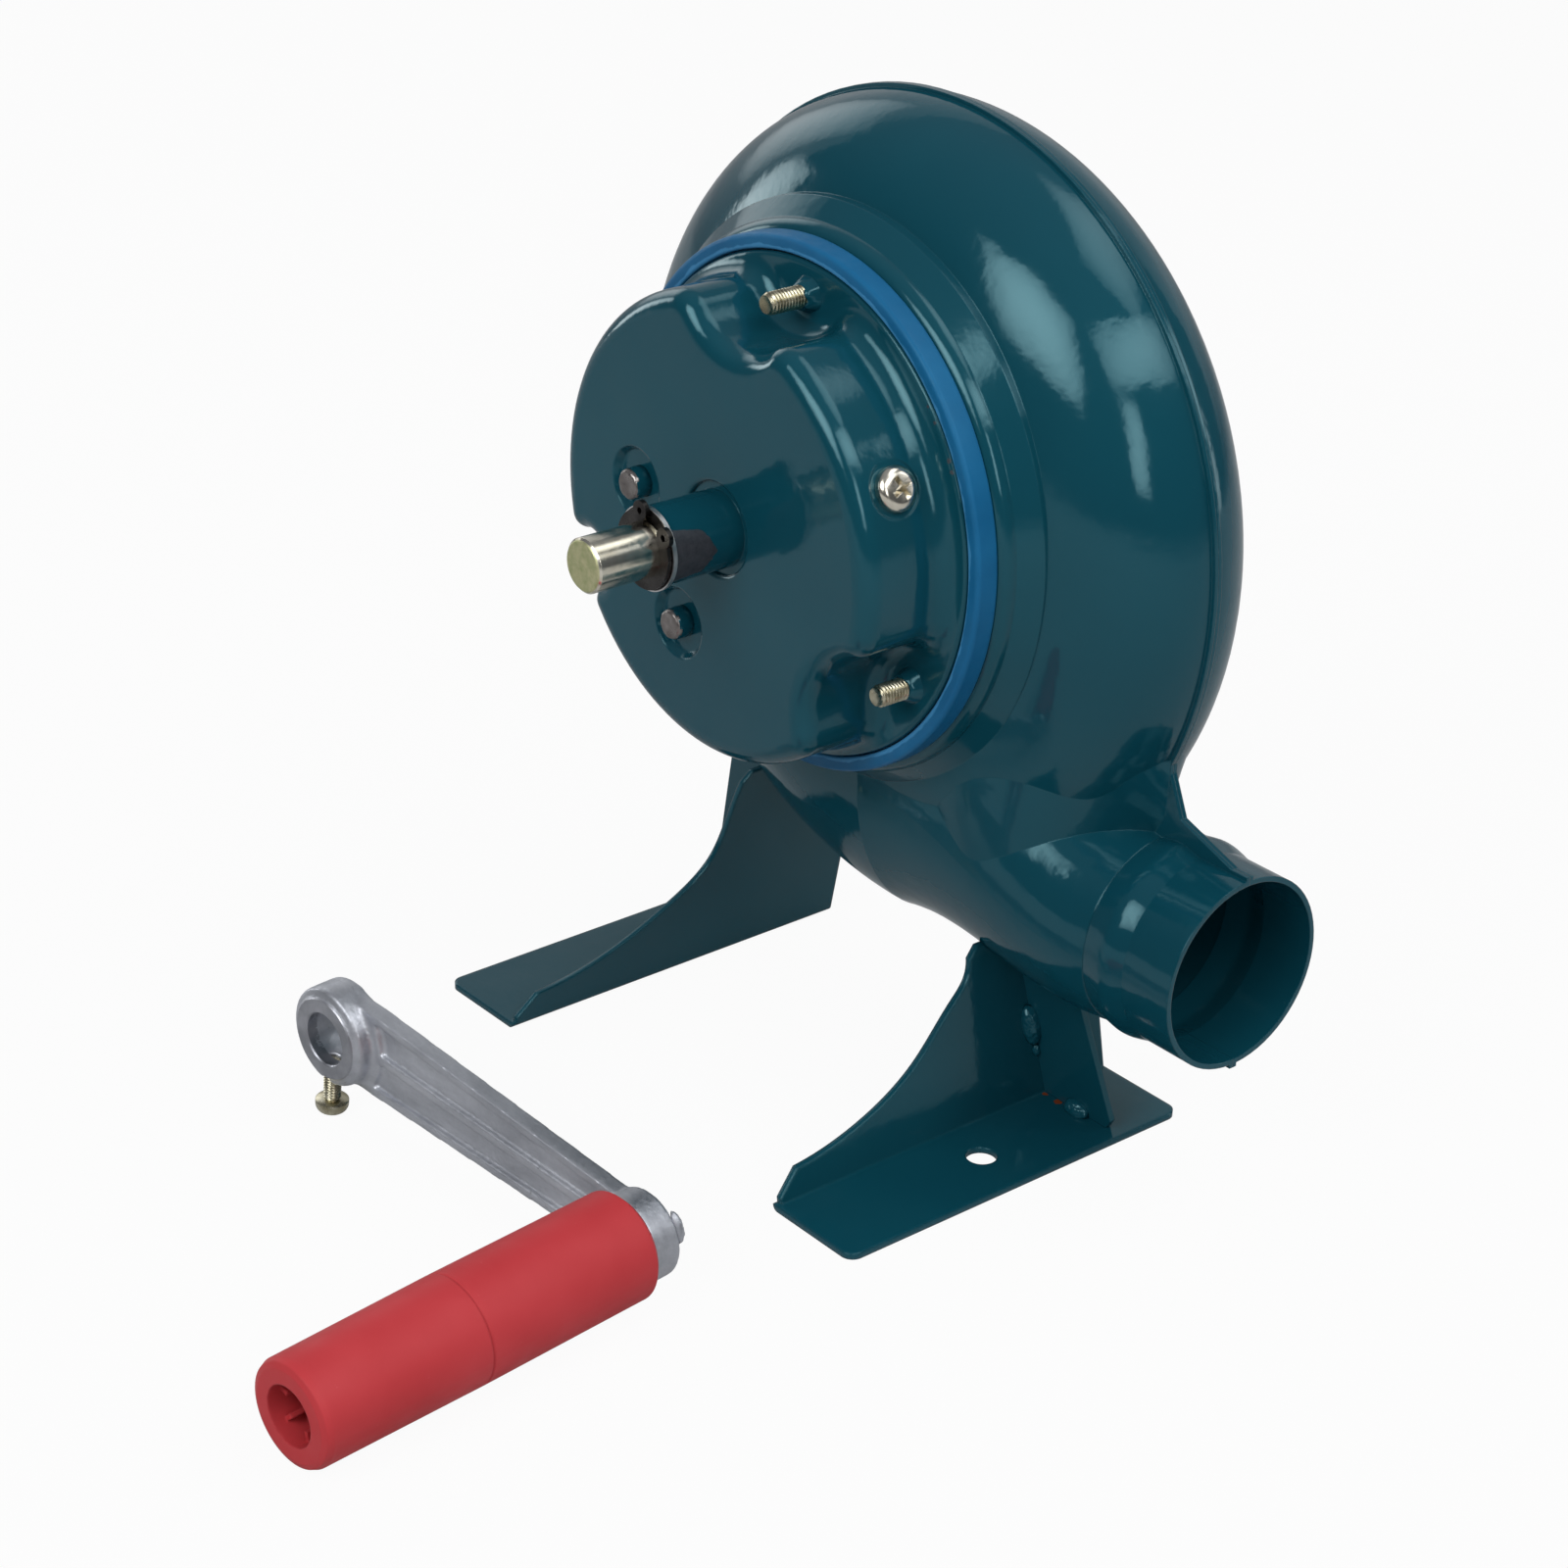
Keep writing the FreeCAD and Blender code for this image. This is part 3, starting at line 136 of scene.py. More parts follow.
# ---------------------------------------------------------------- node trees
class Graph:
    """Short calls that add nodes to one tree."""

    def __init__(self, tree, source="ShaderNodeTexCoord", output="Object"):
        self.tree = tree
        self.coords = tree.nodes.new(source).outputs[output]

    def node(self, kind, **inputs):
        made = self.tree.nodes.new(kind)
        for key, value in inputs.items():
            made.inputs[key].default_value = value
        return made

    def link(self, source, target):
        self.tree.links.new(source, target)

    def math(self, operation, *values):
        """Result of a sum; values are numbers or sockets."""
        made = self.node("ShaderNodeMath")
        made.operation = operation
        for socket, value in zip(made.inputs, values):
            if isinstance(value, (int, float)):
                socket.default_value = value
            else:
                self.link(value, socket)
        return made.outputs[0]

    def mix(self, factor, a, b):
        """Colour mix; a and b are colours or sockets."""
        made = self.node("ShaderNodeMix")
        made.data_type = "RGBA"
        self.link(factor, made.inputs[0])
        for index, value in ((6, a), (7, b)):
            if isinstance(value, tuple):
                made.inputs[index].default_value = (*value, 1)
            else:
                self.link(value, made.inputs[index])
        return made.outputs[2]

    def span(self, value, low, high, to_low=0.0, to_high=1.0):
        """Value moved from one range to another and held inside it."""
        made = self.node("ShaderNodeMapRange")
        for name, number in (("From Min", low), ("From Max", high),
                             ("To Min", to_low), ("To Max", to_high)):
            made.inputs[name].default_value = number
        self.link(value, made.inputs["Value"])
        return made.outputs["Result"]

    def axis(self, letter):
        """One coordinate of the point, in metres."""
        made = self.node("ShaderNodeSeparateXYZ")
        self.link(self.coords, made.inputs[0])
        return made.outputs[letter]

    def white_share(self, gloss):
        """How much of a background is white: all to the camera and through glass.

        Gloss sees the share that gloss says, a number or a socket.
        """
        rays = self.node("ShaderNodeLightPath").outputs
        seen = self.math("MAXIMUM", rays["Is Camera Ray"], rays["Is Transmission Ray"])
        share = self.math("MULTIPLY_ADD", rays["Is Glossy Ray"], gloss, seen)
        share.node.use_clamp = True
        return share


class Shader(Graph):
    """A Principled material whose colour, roughness and bump come from nodes."""

    def __init__(self, name, **numbers):
        self.material = bpy.data.materials.new(name)
        self.material.use_nodes = True
        super().__init__(self.material.node_tree)
        self.main = self.tree.nodes["Principled BSDF"]
        for socket, value in numbers.items():
            self.main.inputs[socket.replace("_", " ")].default_value = value

    def noise(self, scale, detail, rough=0.5, coords=None):
        made = self.node("ShaderNodeTexNoise", Scale=scale, Detail=detail, Roughness=rough)
        self.link(coords or self.coords, made.inputs["Vector"])
        return made.outputs["Fac"]

    def vary(self, scale, detail, low=0.0, high=1.0, rough=0.5, reach=0.2, coords=None):
        """Noise that wanders from low to high, most of it within reach of its middle."""
        return self.span(self.noise(scale, detail, rough, coords),
                         0.5 - reach, 0.5 + reach, low, high)

    def stretch(self, factors):
        """Coordinates in which the noise is drawn out along some axes."""
        made = self.node("ShaderNodeMapping", Scale=factors)
        self.link(self.coords, made.inputs["Vector"])
        return made.outputs["Vector"]

    def above_shaft(self):
        return self.math("SUBTRACT", self.axis("Z"), SHAFT_Z * MM)

    def shaft_distance(self):
        """Distance of the point from the drive shaft's axis, in metres."""
        rise, across = self.above_shaft(), self.axis("X")
        return self.math("SQRT", self.math("ADD", self.math("MULTIPLY", rise, rise),
                                           self.math("MULTIPLY", across, across)))

    def near(self, point, radius):
        """Ragged spot round a point, both in millimetres."""
        made = self.node("ShaderNodeVectorMath")
        made.operation = "DISTANCE"
        made.inputs[1].default_value = [c * MM for c in point]
        self.link(self.coords, made.inputs[0])
        size = radius * MM
        reach = self.math("ADD", made.outputs["Value"],
                          self.vary(900, 3, -0.45 * size, 0.45 * size))
        return self.span(reach, 0.85 * size, 1.05 * size, 1.0, 0.0)

    def soft_edges(self, radius):
        """Normal that rounds the edges by a radius in millimetres."""
        made = self.node("ShaderNodeBevel", Radius=radius * MM)
        made.samples = 6
        return made.outputs["Normal"]

    def bump(self, height, strength, distance, normal=None):
        made = self.node("ShaderNodeBump", Strength=strength, Distance=distance)
        self.link(height, made.inputs["Height"])
        if normal is not None:
            self.link(normal, made.inputs["Normal"])
        return made.outputs["Normal"]

    def colour(self, socket):
        self.link(socket, self.main.inputs["Base Color"])

    def roughness(self, socket):
        self.link(socket, self.main.inputs["Roughness"])

    def metallic(self, socket):
        self.link(socket, self.main.inputs["Metallic"])

    def normal(self, socket):
        self.link(socket, self.main.inputs["Normal"])


# ---------------------------------------------------------------- camera, floor and light
def new_object(name, data):
    obj = bpy.data.objects.new(name, data)
    bpy.context.scene.collection.objects.link(obj)
    return obj


def add_camera():
    data = bpy.data.cameras.new("camera")
    data.sensor_width = SENSOR
    data.lens = SENSOR * FOCAL_PX / FRAME_PX
    data.clip_start = 0.05
    right = Vector(CAMERA_RIGHT).normalized()
    back = Vector(CAMERA_BACK).normalized()
    turn = Matrix((right, back.cross(right).normalized(), back)).transposed().to_4x4()
    camera = new_object("camera", data)
    camera.matrix_world = Matrix.Translation(CAMERA_PLACE) @ turn
    bpy.context.scene.camera = camera


def paper():
    """Floor paper: white to the camera, darker to gloss near the floor."""
    material = bpy.data.materials.new("floor_paper")
    material.use_nodes = True
    material.node_tree.nodes.clear()
    g = Graph(material.node_tree)
    diffuse = g.node("ShaderNodeBsdfDiffuse", Color=(*PAPER, 1))
    glow = g.node("ShaderNodeEmission", Color=(1, 1, 1, 1), Strength=1.0)
    gloss = g.span(g.axis("Z"), 0.0, 0.5, *PAPER_GLOSS)
    mix = g.node("ShaderNodeMixShader")
    g.link(g.math("MULTIPLY", g.white_share(gloss), PAPER_SHARE), mix.inputs["Fac"])
    g.link(diffuse.outputs[0], mix.inputs[1])
    g.link(glow.outputs[0], mix.inputs[2])
    g.link(mix.outputs[0], g.node("ShaderNodeOutputMaterial").inputs["Surface"])
    return material


def add_floor():
    """White sweep: flat under the object, curving up far behind it."""
    reach, bend_start, bend, top = 3.0, 1.2, 0.8, 2.4
    profile = [(-reach, 0.0), (bend_start, 0.0)]
    for k in range(1, 13):
        angle = math.radians(90.0 * k / 12)
        profile.append((bend_start + bend * math.sin(angle), bend * (1 - math.cos(angle))))
    profile.append((bend_start + bend, top))
    away = -Vector((CAMERA_BACK[0], CAMERA_BACK[1], 0)).normalized()
    across = Vector((away.y, -away.x, 0))
    mesh = bmesh.new()
    rows = [[mesh.verts.new(away * along + across * side * reach + Vector((0, 0, height)))
             for side in (-1, 1)] for along, height in profile]
    for low, high in zip(rows, rows[1:]):
        mesh.faces.new((low[0], low[1], high[1], high[0]))
    data = bpy.data.meshes.new("floor")
    mesh.to_mesh(data)
    mesh.free()
    smooth(data)
    data.materials.append(paper())
    new_object("floor", data)


def add_world():
    """Dim room with a paler ceiling, white to the camera."""
    world = bpy.data.worlds.new("studio")
    bpy.context.scene.world = world
    world.use_nodes = True
    g = Graph(world.node_tree, output="Generated")
    sky = g.mix(g.span(g.axis("Z"), 0.40, 0.95), SKY_LOW, SKY_HIGH)
    back = g.tree.nodes["Background"]
    back.inputs["Strength"].default_value = 1.0
    g.link(g.mix(g.white_share(SKY_GLOSS), sky, SKY_WHITE), back.inputs["Color"])


def soften_border(data):
    """Let a soft box fade towards its four sides."""
    data.use_nodes = True
    g = Graph(data.node_tree, "ShaderNodeNewGeometry", "Parametric")
    falls = [g.math("MULTIPLY", g.axis(letter), g.math("SUBTRACT", 1.0, g.axis(letter)))
             for letter in "XY"]
    fade = g.math("SQRT", g.math("MULTIPLY", *falls))
    g.link(g.math("MULTIPLY", fade, BORDER_GAIN), g.tree.nodes["Emission"].inputs["Strength"])


def add_lights():
    """Soft boxes that face the object. Azimuth 0 is the +Y side and 90 the +X side."""
    for name, (azimuth, elevation, width, height, power) in LAMPS.items():
        data = bpy.data.lights.new(name, "AREA")
        data.shape = "RECTANGLE"
        data.size, data.size_y, data.energy = width, height, power
        soften_border(data)
        az, el = math.radians(azimuth), math.radians(elevation)
        out = Vector((math.sin(az) * math.cos(el), math.cos(az) * math.cos(el), math.sin(el)))
        light = new_object(name, data)
        light.location = Vector(LAMP_TARGET) + out * LAMP_DISTANCE
        light.rotation_euler = out.to_track_quat("Z", "Y").to_euler()


# ---------------------------------------------------------------- materials
def enamel(name, bare=None, rust=(), edge=0.35):
    """Glossy teal paint: slight waves and orange peel, dust, bare steel and rust spots."""
    s = Shader(name, IOR=1.5, Specular_Tint=TEAL_GLOSS)
    colour = s.mix(s.vary(14, 2, reach=0.15), *TEAL)
    dust = s.span(s.noise(520, 4, 0.7), 0.69, 0.80, 0.0, 0.16)
    colour = s.mix(dust, colour, DUST)
    for point, radius in rust:
        colour = s.mix(s.near(point, radius), colour, RUST)
    rough = s.vary(60, 3, 0.06, 0.13)
    if bare is not None:
        mask = bare(s)
        colour = s.mix(mask, colour, s.mix(s.vary(700, 4, rough=0.7), *BARE_STEEL))
        rough = s.math("ADD", rough, s.span(mask, 0, 1, 0.0, 0.34))
        s.metallic(s.span(mask, 0, 1, 0.0, 0.35))
    s.colour(colour)
    s.roughness(rough)
    wave = s.bump(s.noise(34, 1), 0.45, 0.0013, s.soft_edges(edge))
    s.normal(s.bump(s.noise(260, 2), 0.22, 0.00026, wave))
    return s.material


def worn_bush(s):
    """Bare patch on the bush's front end, whose edge points back on one side."""
    front, middle, wide = -35.3 * MM, 2.0, 34.0
    turn = s.math("MULTIPLY", s.math("ARCTAN2", s.above_shaft(), s.axis("X")), 180 / math.pi)
    off = s.math("ABSOLUTE", s.math("ADD", turn, middle))
    slope = s.math("MULTIPLY", off, -0.1 * MM)
    steep = s.math("MULTIPLY", s.math("MAXIMUM", s.math("SUBTRACT", off, wide), 0.0), -0.6 * MM)
    edge = s.math("ADD", s.math("ADD", slope, steep), front)
    ragged = s.vary(800, 4, -0.4 * MM, 0.4 * MM, rough=0.6)
    depth = s.math("SUBTRACT", s.math("ADD", edge, ragged), s.axis("Y"))
    return s.span(depth, -0.04 * MM, 0.04 * MM)


def chipped_rim(s):
    """Small bare chips along the cover's edge, beside the gasket."""
    first, *rest = [s.near(point, radius) for point, radius in CHIPS]
    for spot in rest:
        first = s.math("MAXIMUM", first, spot)
    return first


def rubber_blue():
    """Matt rubber with a painted highlight: a paler band along the inner edge of the lip."""
    s = Shader("blue_rubber", IOR=1.47, Specular_IOR_Level=0.35, Specular_Tint=BLUE_GLOSS)
    wander = s.vary(120, 3, -0.5 * MM, 0.5 * MM, rough=0.6)
    # painted highlight: a paler band just outside the lip's inner rounding
    cut = s.span(s.math("ADD", s.shaft_distance(), wander), 56.4 * MM, 56.7 * MM, 0.75, 0.0)
    s.colour(s.mix(cut, s.mix(s.vary(90, 3), *BLUE), BLUE_HIGHLIGHT))
    s.roughness(s.vary(400, 3, 0.38, 0.52))
    s.normal(s.bump(s.noise(600, 3), 0.3, 0.0001, s.soft_edges(0.5)))
    return s.material


def metal(name, colours, rough, bump=0.12):
    """Plain metal with a fine grain; rough is its least and greatest roughness."""
    s = Shader(name, Metallic=1.0)
    grain = s.noise(500, 4, 0.6)
    s.colour(s.mix(s.vary(160, 3, reach=0.15), *colours))
    s.roughness(s.span(grain, 0.3, 0.7, *rough))
    s.normal(s.bump(grain, bump, 0.0001, s.soft_edges(0.15)))
    return s.material


def cast_aluminium():
    """Die-cast skin: flow marks, a fine grain and dark flecks."""
    s = Shader("cast_aluminium", Metallic=1.0)
    flow = s.noise(75, 5, 0.65, s.stretch((0.3, 1, 1)))
    grain = s.noise(1100, 4, 0.7)
    fleck = s.span(s.noise(420, 5, 0.8), 0.64, 0.72, 0.0, 0.55)
    s.colour(s.mix(fleck, s.mix(s.span(flow, 0.3, 0.7), *CAST_SKIN), CAST_FLECK))
    s.roughness(s.span(grain, 0.3, 0.7, 0.36, 0.58))
    s.normal(s.bump(flow, 0.4, 0.0005, s.bump(grain, 0.45, 0.00012)))
    return s.material


def red_plastic():
    """Dull moulded plastic with pale scuffs."""
    s = Shader("red_plastic", IOR=1.46, Specular_IOR_Level=0.22)
    scuff = s.span(s.noise(700, 5, 0.75), 0.66, 0.8, 0.0, 0.35)
    s.colour(s.mix(scuff, s.mix(s.vary(45, 3), *RED), RED_SCUFF))
    s.roughness(s.vary(120, 4, 0.44, 0.60))
    s.normal(s.bump(s.noise(1500, 3), 0.16, 0.00006, s.soft_edges(0.6)))
    return s.material


def plated_shaft():
    """Turned steel under yellow zinc: fine rings, dark specks and a dull sawn end."""
    s = Shader("plated_shaft", Metallic=1.0)
    rings = s.noise(2600, 2, 0.5, s.stretch((0.05, 1, 0.05)))
    wear = s.vary(210, 4, rough=0.6, reach=0.15, coords=s.stretch((1, 0.25, 1)))
    speck = s.span(s.noise(900, 4, 0.75), 0.63, 0.70, 0.0, 0.6)
    skin = s.mix(speck, s.mix(wear, *SHAFT_ZINC), SHAFT_SPECK)
    front = s.span(s.axis("Y"), SHAFT_END_Y * MM, (SHAFT_END_Y + 0.15) * MM, 1.0, 0.0)
    s.colour(s.mix(front, skin, s.mix(s.vary(420, 4, rough=0.7, reach=0.15), *SHAFT_END)))
    gloss = s.vary(500, 3, 0.13, 0.24)
    s.roughness(s.math("ADD", gloss, s.span(front, 0, 1, 0.0, 0.26)))
    s.normal(s.bump(rings, 0.05, 0.00004, s.soft_edges(0.15)))
    return s.material


def zinc_thread():
    """Yellow zinc on threads, darker than on the shaft."""
    s = Shader("zinc_thread", Metallic=1.0)
    s.colour(s.mix(s.vary(330, 4, reach=0.15), *THREAD_ZINC))
    s.roughness(s.vary(700, 3, 0.22, 0.36))
    s.normal(s.bump(s.noise(1500, 3), 0.1, 0.00003))
    return s.material


def ring_face():
    """Blackened washer face with a bright edge."""
    s = Shader("ring_face", Metallic=1.0)
    rim = s.span(s.shaft_distance(), WASHER_RIM * MM, (WASHER_RIM + 0.15) * MM)
    s.colour(s.mix(rim, *RING))
    s.roughness(s.vary(500, 3, 0.25, 0.40))
    s.normal(s.bump(s.noise(900, 3), 0.1, 0.00004))
    return s.material


MATERIALS = {
    "teal_paint": enamel("teal_enamel"),
    "blue_rubber": rubber_blue(),
    "plain_steel": metal("plain_steel", PLAIN_STEEL, (0.25, 0.4)),
    "dark_steel": metal("dark_steel", DARK_STEEL, (0.22, 0.40)),
    "zinc_yellow": plated_shaft(),
    "zinc_bright": metal("zinc_bright", BRIGHT_ZINC, (0.2, 0.36)),
    "nickel_steel": metal("nickel_steel", NICKEL, (0.14, 0.26)),
    "bronze": metal("bronze", BRONZE, (0.3, 0.45)),
    "cast_aluminium": cast_aluminium(),
    "red_plastic": red_plastic(),
}
NODE_MATERIALS = {
    "shaft_bush": enamel("teal_enamel_worn", bare=worn_bush),
    "gearbox_cover": enamel("teal_enamel_chipped", bare=chipped_rim, edge=0.7),
    "right_foot": enamel("teal_enamel_rusty", rust=RUST_SPOTS, edge=1.0),
    "left_foot": enamel("teal_enamel_bent", edge=1.0),
    "thrust_washer": ring_face(),
}
MACHINED = metal("machined_aluminium", MACHINED_SKIN, (0.32, 0.48), bump=0.4)
THREAD = zinc_thread()
PINS = metal("peened_steel", PIN_STEEL, (0.24, 0.40), bump=0.5)


def dress_nodes():
    """Give each CAD node the material of its slot, or one of its own."""
    slots = {row["node"]: row["material_slot"] for row in frame["record"]["subparts"]}
    for name, obj in nodes.items():
        material = NODE_MATERIALS.get(name, MATERIALS[slots[name]])
        if not obj.material_slots:
            obj.data.materials.append(material)
        for slot in obj.material_slots:
            slot.material = material


# ---------------------------------------------------------------- mesh helpers
def place_at(origin, along, turn=0.0):
    """Placement in metres whose Z runs along a direction; origin is in millimetres."""
    rotation = Vector(along).to_track_quat("Z", "Y").to_matrix().to_4x4()
    return Matrix.Translation(Vector(origin) * MM) @ rotation @ Matrix.Rotation(turn, 4, "Z")


def add_ring(mesh, place, points):
    """Vertices at points in millimetres."""
    return [mesh.verts.new(place @ (Vector(point) * MM)) for point in points]


def stitch(mesh, rings, closed=False):
    """Faces between neighbouring rings; a ring of one vertex makes a point.

    A closed skin joins its last ring to its first.
    """
    for low, high in zip(rings, rings[1:] + (rings[:1] if closed else [])):
        for k in range(max(len(low), len(high))):
            corners = (low[k % len(low)], low[(k + 1) % len(low)],
                       high[(k + 1) % len(high)], high[k % len(high)])
            mesh.faces.new(list(dict.fromkeys(corners)))


def turns(count):
    """Angles of that many even steps round a circle."""
    return [2 * math.pi * k / count for k in range(count)]


def skin(mesh, place, rows, closed=False):
    """Surface through rows of (radius, height) pairs that stand round the place's Z."""
    rings = [add_ring(mesh, place, [(radius * math.cos(turn), radius * math.sin(turn), height)
                                    for turn, (radius, height) in zip(turns(len(row)), row)])
             for row in rows]
    stitch(mesh, rings, closed)


def lathe(profile, sides=48):
    """Rows of a surface of revolution."""
    return [[(radius, height)] * (1 if radius < 0.001 else sides) for radius, height in profile]


def thread(outer, root, pitch, start, end):
    """Rows of a screw thread that fades out at both ends."""
    sides, steps = 48, int((end - start) / pitch * 9)
    rows = []
    for i in range(steps + 1):
        height = start + (end - start) * i / steps
        fade = min(1.0, (height - start) / pitch, (end - height) / pitch)
        row = []
        for k in range(sides):
            phase = (height / pitch - k / sides) % 1.0
            crest = min(1.0, max(0.0, 1.25 * abs(2 * phase - 1) - 0.1))
            row.append((root + (outer - root) * crest * fade, height))
        rows.append(row)
    return rows


def smooth(data):
    for face in data.polygons:
        face.use_smooth = True


def sharpen(piece, degrees=35.0):
    piece.data.set_sharp_from_angle(angle=math.radians(degrees))


def close_mesh(name, mesh):
    """Object made from a bmesh, with its normals outwards."""
    bmesh.ops.recalc_face_normals(mesh, faces=mesh.faces)
    data = bpy.data.meshes.new(name)
    mesh.to_mesh(data)
    mesh.free()
    return new_object(name, data)


def ready(piece, body, replaced=()):
    """Parent a piece to the empty of its body and hide the nodes it stands for."""
    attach(piece, body)
    if replaced:
        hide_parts(*replaced)


def finish_piece(name, mesh, body, slot, material=None, replaced=()):
    """Turn a bmesh into a piece that rides on a body."""
    piece = close_mesh(name, mesh)
    smooth(piece.data)
    piece.data.materials.append(material or MATERIALS[slot])
    ready(piece, body, replaced)
    return piece


def settle(piece):
    """Apply every modifier of a piece."""
    depsgraph = bpy.context.evaluated_depsgraph_get()
    data = bpy.data.meshes.new_from_object(piece.evaluated_get(depsgraph))
    piece.modifiers.clear()
    piece.data = data


def carve(piece, cutter):
    """Cut one piece's solid out of another and drop the cutter."""
    modifier = piece.modifiers.new("cut", "BOOLEAN")
    modifier.operation = "DIFFERENCE"
    modifier.solver = "EXACT"
    modifier.object = cutter
    settle(piece)
    bpy.data.objects.remove(cutter)


def ripple(point, scale, seed):
    """Smooth noise from -1 to 1 at a point in millimetres."""
    return noise.noise(Vector(point) * scale + Vector((seed * 7.3, seed * 3.1, seed * 5.7)))


def round_shaft(radius, degrees, y):
    """Point at an angle round the drive shaft."""
    angle = math.radians(degrees)
    return (radius * math.cos(angle), y, SHAFT_Z + radius * math.sin(angle))


# ---------------------------------------------------------------- fasteners and gasket
def add_studs():
    """Threaded studs with a plain foot, and the head inside the casing."""
    foot, head, pitch = STUD_RADIUS - 0.1, 5.0, 0.8
    for number, (angle, length) in enumerate(STUDS, 1):
        tip = FLANGE_Y - length
        back = STUD_BACK_Y - tip
        rows = lathe([(0, 0.25), (1.0, 0.25), (1.95, 0.0)])
        rows += thread(STUD_RADIUS, STUD_RADIUS - 0.5, pitch, 0.12, length - 1.0)
        rows += lathe([(foot, length - 0.9), (foot, back - 3.0), (head, back - 3.0),
                       (head, back - 0.4), (head - 0.4, back), (0, back)])
        mesh = bmesh.new()
        # The angle also turns the thread, so that no two of them start alike.
        skin(mesh, place_at(round_shaft(STUD_CIRCLE, angle, tip), (0, 1, 0), angle), rows)
        sharpen(finish_piece(f"threaded_stud_{number}", mesh, "housing", "zinc_yellow",
                             THREAD, (f"gearbox_stud_{number}",)))


def add_stud_welds():
    """Lumps of painted weld that climb the foot of each stud, higher on one side."""
    sides, steps = 56, 12
    core = STUD_RADIUS - 0.35
    mesh = bmesh.new()
    for number, (angle, _) in enumerate(STUDS, 1):
        rows = []
        for t in [i / steps for i in range(steps + 1)]:
            row = []
            for turn in turns(sides):
                x, y = math.cos(turn), math.sin(turn)
                lobe = math.exp(-((turn - 3.6) / 0.75) ** 2)
                outer = 4.1 + 1.1 * lobe + 0.5 * ripple((3 * x, 3 * y, 0), 0.55, number)
                climb = 2.9 + 1.7 * lobe + 0.6 * ripple((x, y, 1), 1.3, number + 9)
                radius = outer + (core - outer) * t
                lumps = 0.22 * ripple((radius * x, radius * y, 2), 0.8, number + 4)
                row.append((radius, climb * math.sin(t * math.pi / 2) ** 1.15
                            + lumps * math.sin(t * math.pi)))
            rows.append(row)
        rows.append([(core, 0)] * sides)
        place = place_at(round_shaft(STUD_CIRCLE, angle, FLANGE_Y + 0.25), (0, -1, 0))
        skin(mesh, place, rows, closed=True)
    finish_piece("stud_welds", mesh, "housing", "teal_paint", replaced=("stud_tacks",))


def cross_cutter(place, arm, half, depth):
    """Tapered cross, for a cross-recessed head."""
    mesh = bmesh.new()
    rings = []
    for height, scale in ((0.8, 1.12), (-depth, 0.45)):
        points = []
        for quarter in range(4):
            for x, y in ((arm, -half), (arm, half), (half, half)):
                for _ in range(quarter):
                    x, y = -y, x
                points.append((x * scale, y * scale, height))
        rings.append(add_ring(mesh, place, points))
    mesh.faces.new(rings[0])
    mesh.faces.new(rings[1][::-1])
    stitch(mesh, rings)
    return close_mesh("cross_cutter", mesh)


def pan_head(radius, height, lip):
    """Profile of a pan head from its rim to its crown."""
    points = [(radius, lip)]
    for k in range(1, 12):
        turn = math.radians(90.0 * k / 12)
        points.append((radius * (0.42 + 0.58 * math.cos(turn) ** 0.8),
                       lip + (height - lip) * math.sin(turn) ** 0.9))
    return points + [(radius * 0.2, height), (0, height)]


def add_filler_screw():
    """Pan head screw that points out of the cover's side wall."""
    radius, height = 4.9, 3.0
    angle = math.radians(FILLER_ANGLE)
    place = place_at(round_shaft(FILLER_SEAT, FILLER_ANGLE, FILLER_Y),
                     (math.cos(angle), 0, math.sin(angle)), math.radians(24))
    rows = lathe([(0, -7.0), (1.6, -7.0)]) + thread(2.4, 2.0, 0.8, -6.9, -0.2)
    rows += lathe([(2.4, 0.0), (radius - 0.15, 0.0), (radius, 0.15)]
                  + pan_head(radius, height, 0.7))
    mesh = bmesh.new()
    skin(mesh, place, rows)
    piece = finish_piece("cross_recess_screw", mesh, "housing", "nickel_steel",
                         replaced=("filler_screw",))
    carve(piece, cross_cutter(place @ Matrix.Translation((0, 0, height * MM)), 2.9, 0.72, 1.9))
    sharpen(piece)


def add_gasket():
    """Rubber ring with the rounded lip of a moulding, and holes for the studs."""
    low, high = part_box("gearbox_gasket")
    front, seat = low[1] / MM, high[1] / MM
    outer, inner, hole = GASKET_RADII
    outer_round, inner_round, stud_hole = 1.1, 0.7, 2.75
    profile = [(hole, seat), (outer, seat)]
    for k in range(10):
        turn = math.radians(10.0 * k)
        profile.append((outer - outer_round * (1 - math.cos(turn)),
                        front + outer_round * (1 - math.sin(turn))))
    for k in range(8):
        turn = math.radians(90.0 * k / 7)
        profile.append((inner + inner_round * (1 - math.sin(turn)),
                        front + inner_round * (1 - math.cos(turn))))
    profile += [(inner, seat - GASKET_BASE), (hole, seat - GASKET_BASE)]
    mesh = bmesh.new()
    skin(mesh, place_at((0, 0, SHAFT_Z), (0, 1, 0)), lathe(profile, 240), closed=True)
    piece = finish_piece("moulded_gasket", mesh, "housing", "blue_rubber",
                         replaced=("gearbox_gasket",))
    for angle, _ in STUDS:
        cutter = bmesh.new()
        skin(cutter, place_at(round_shaft(STUD_CIRCLE, angle, seat), (0, 1, 0)),
             lathe([(0, -5.0), (stud_hole, -5.0), (stud_hole, 5.0), (0, 5.0)]))
        carve(piece, close_mesh("stud_cutter", cutter))
    sharpen(piece)


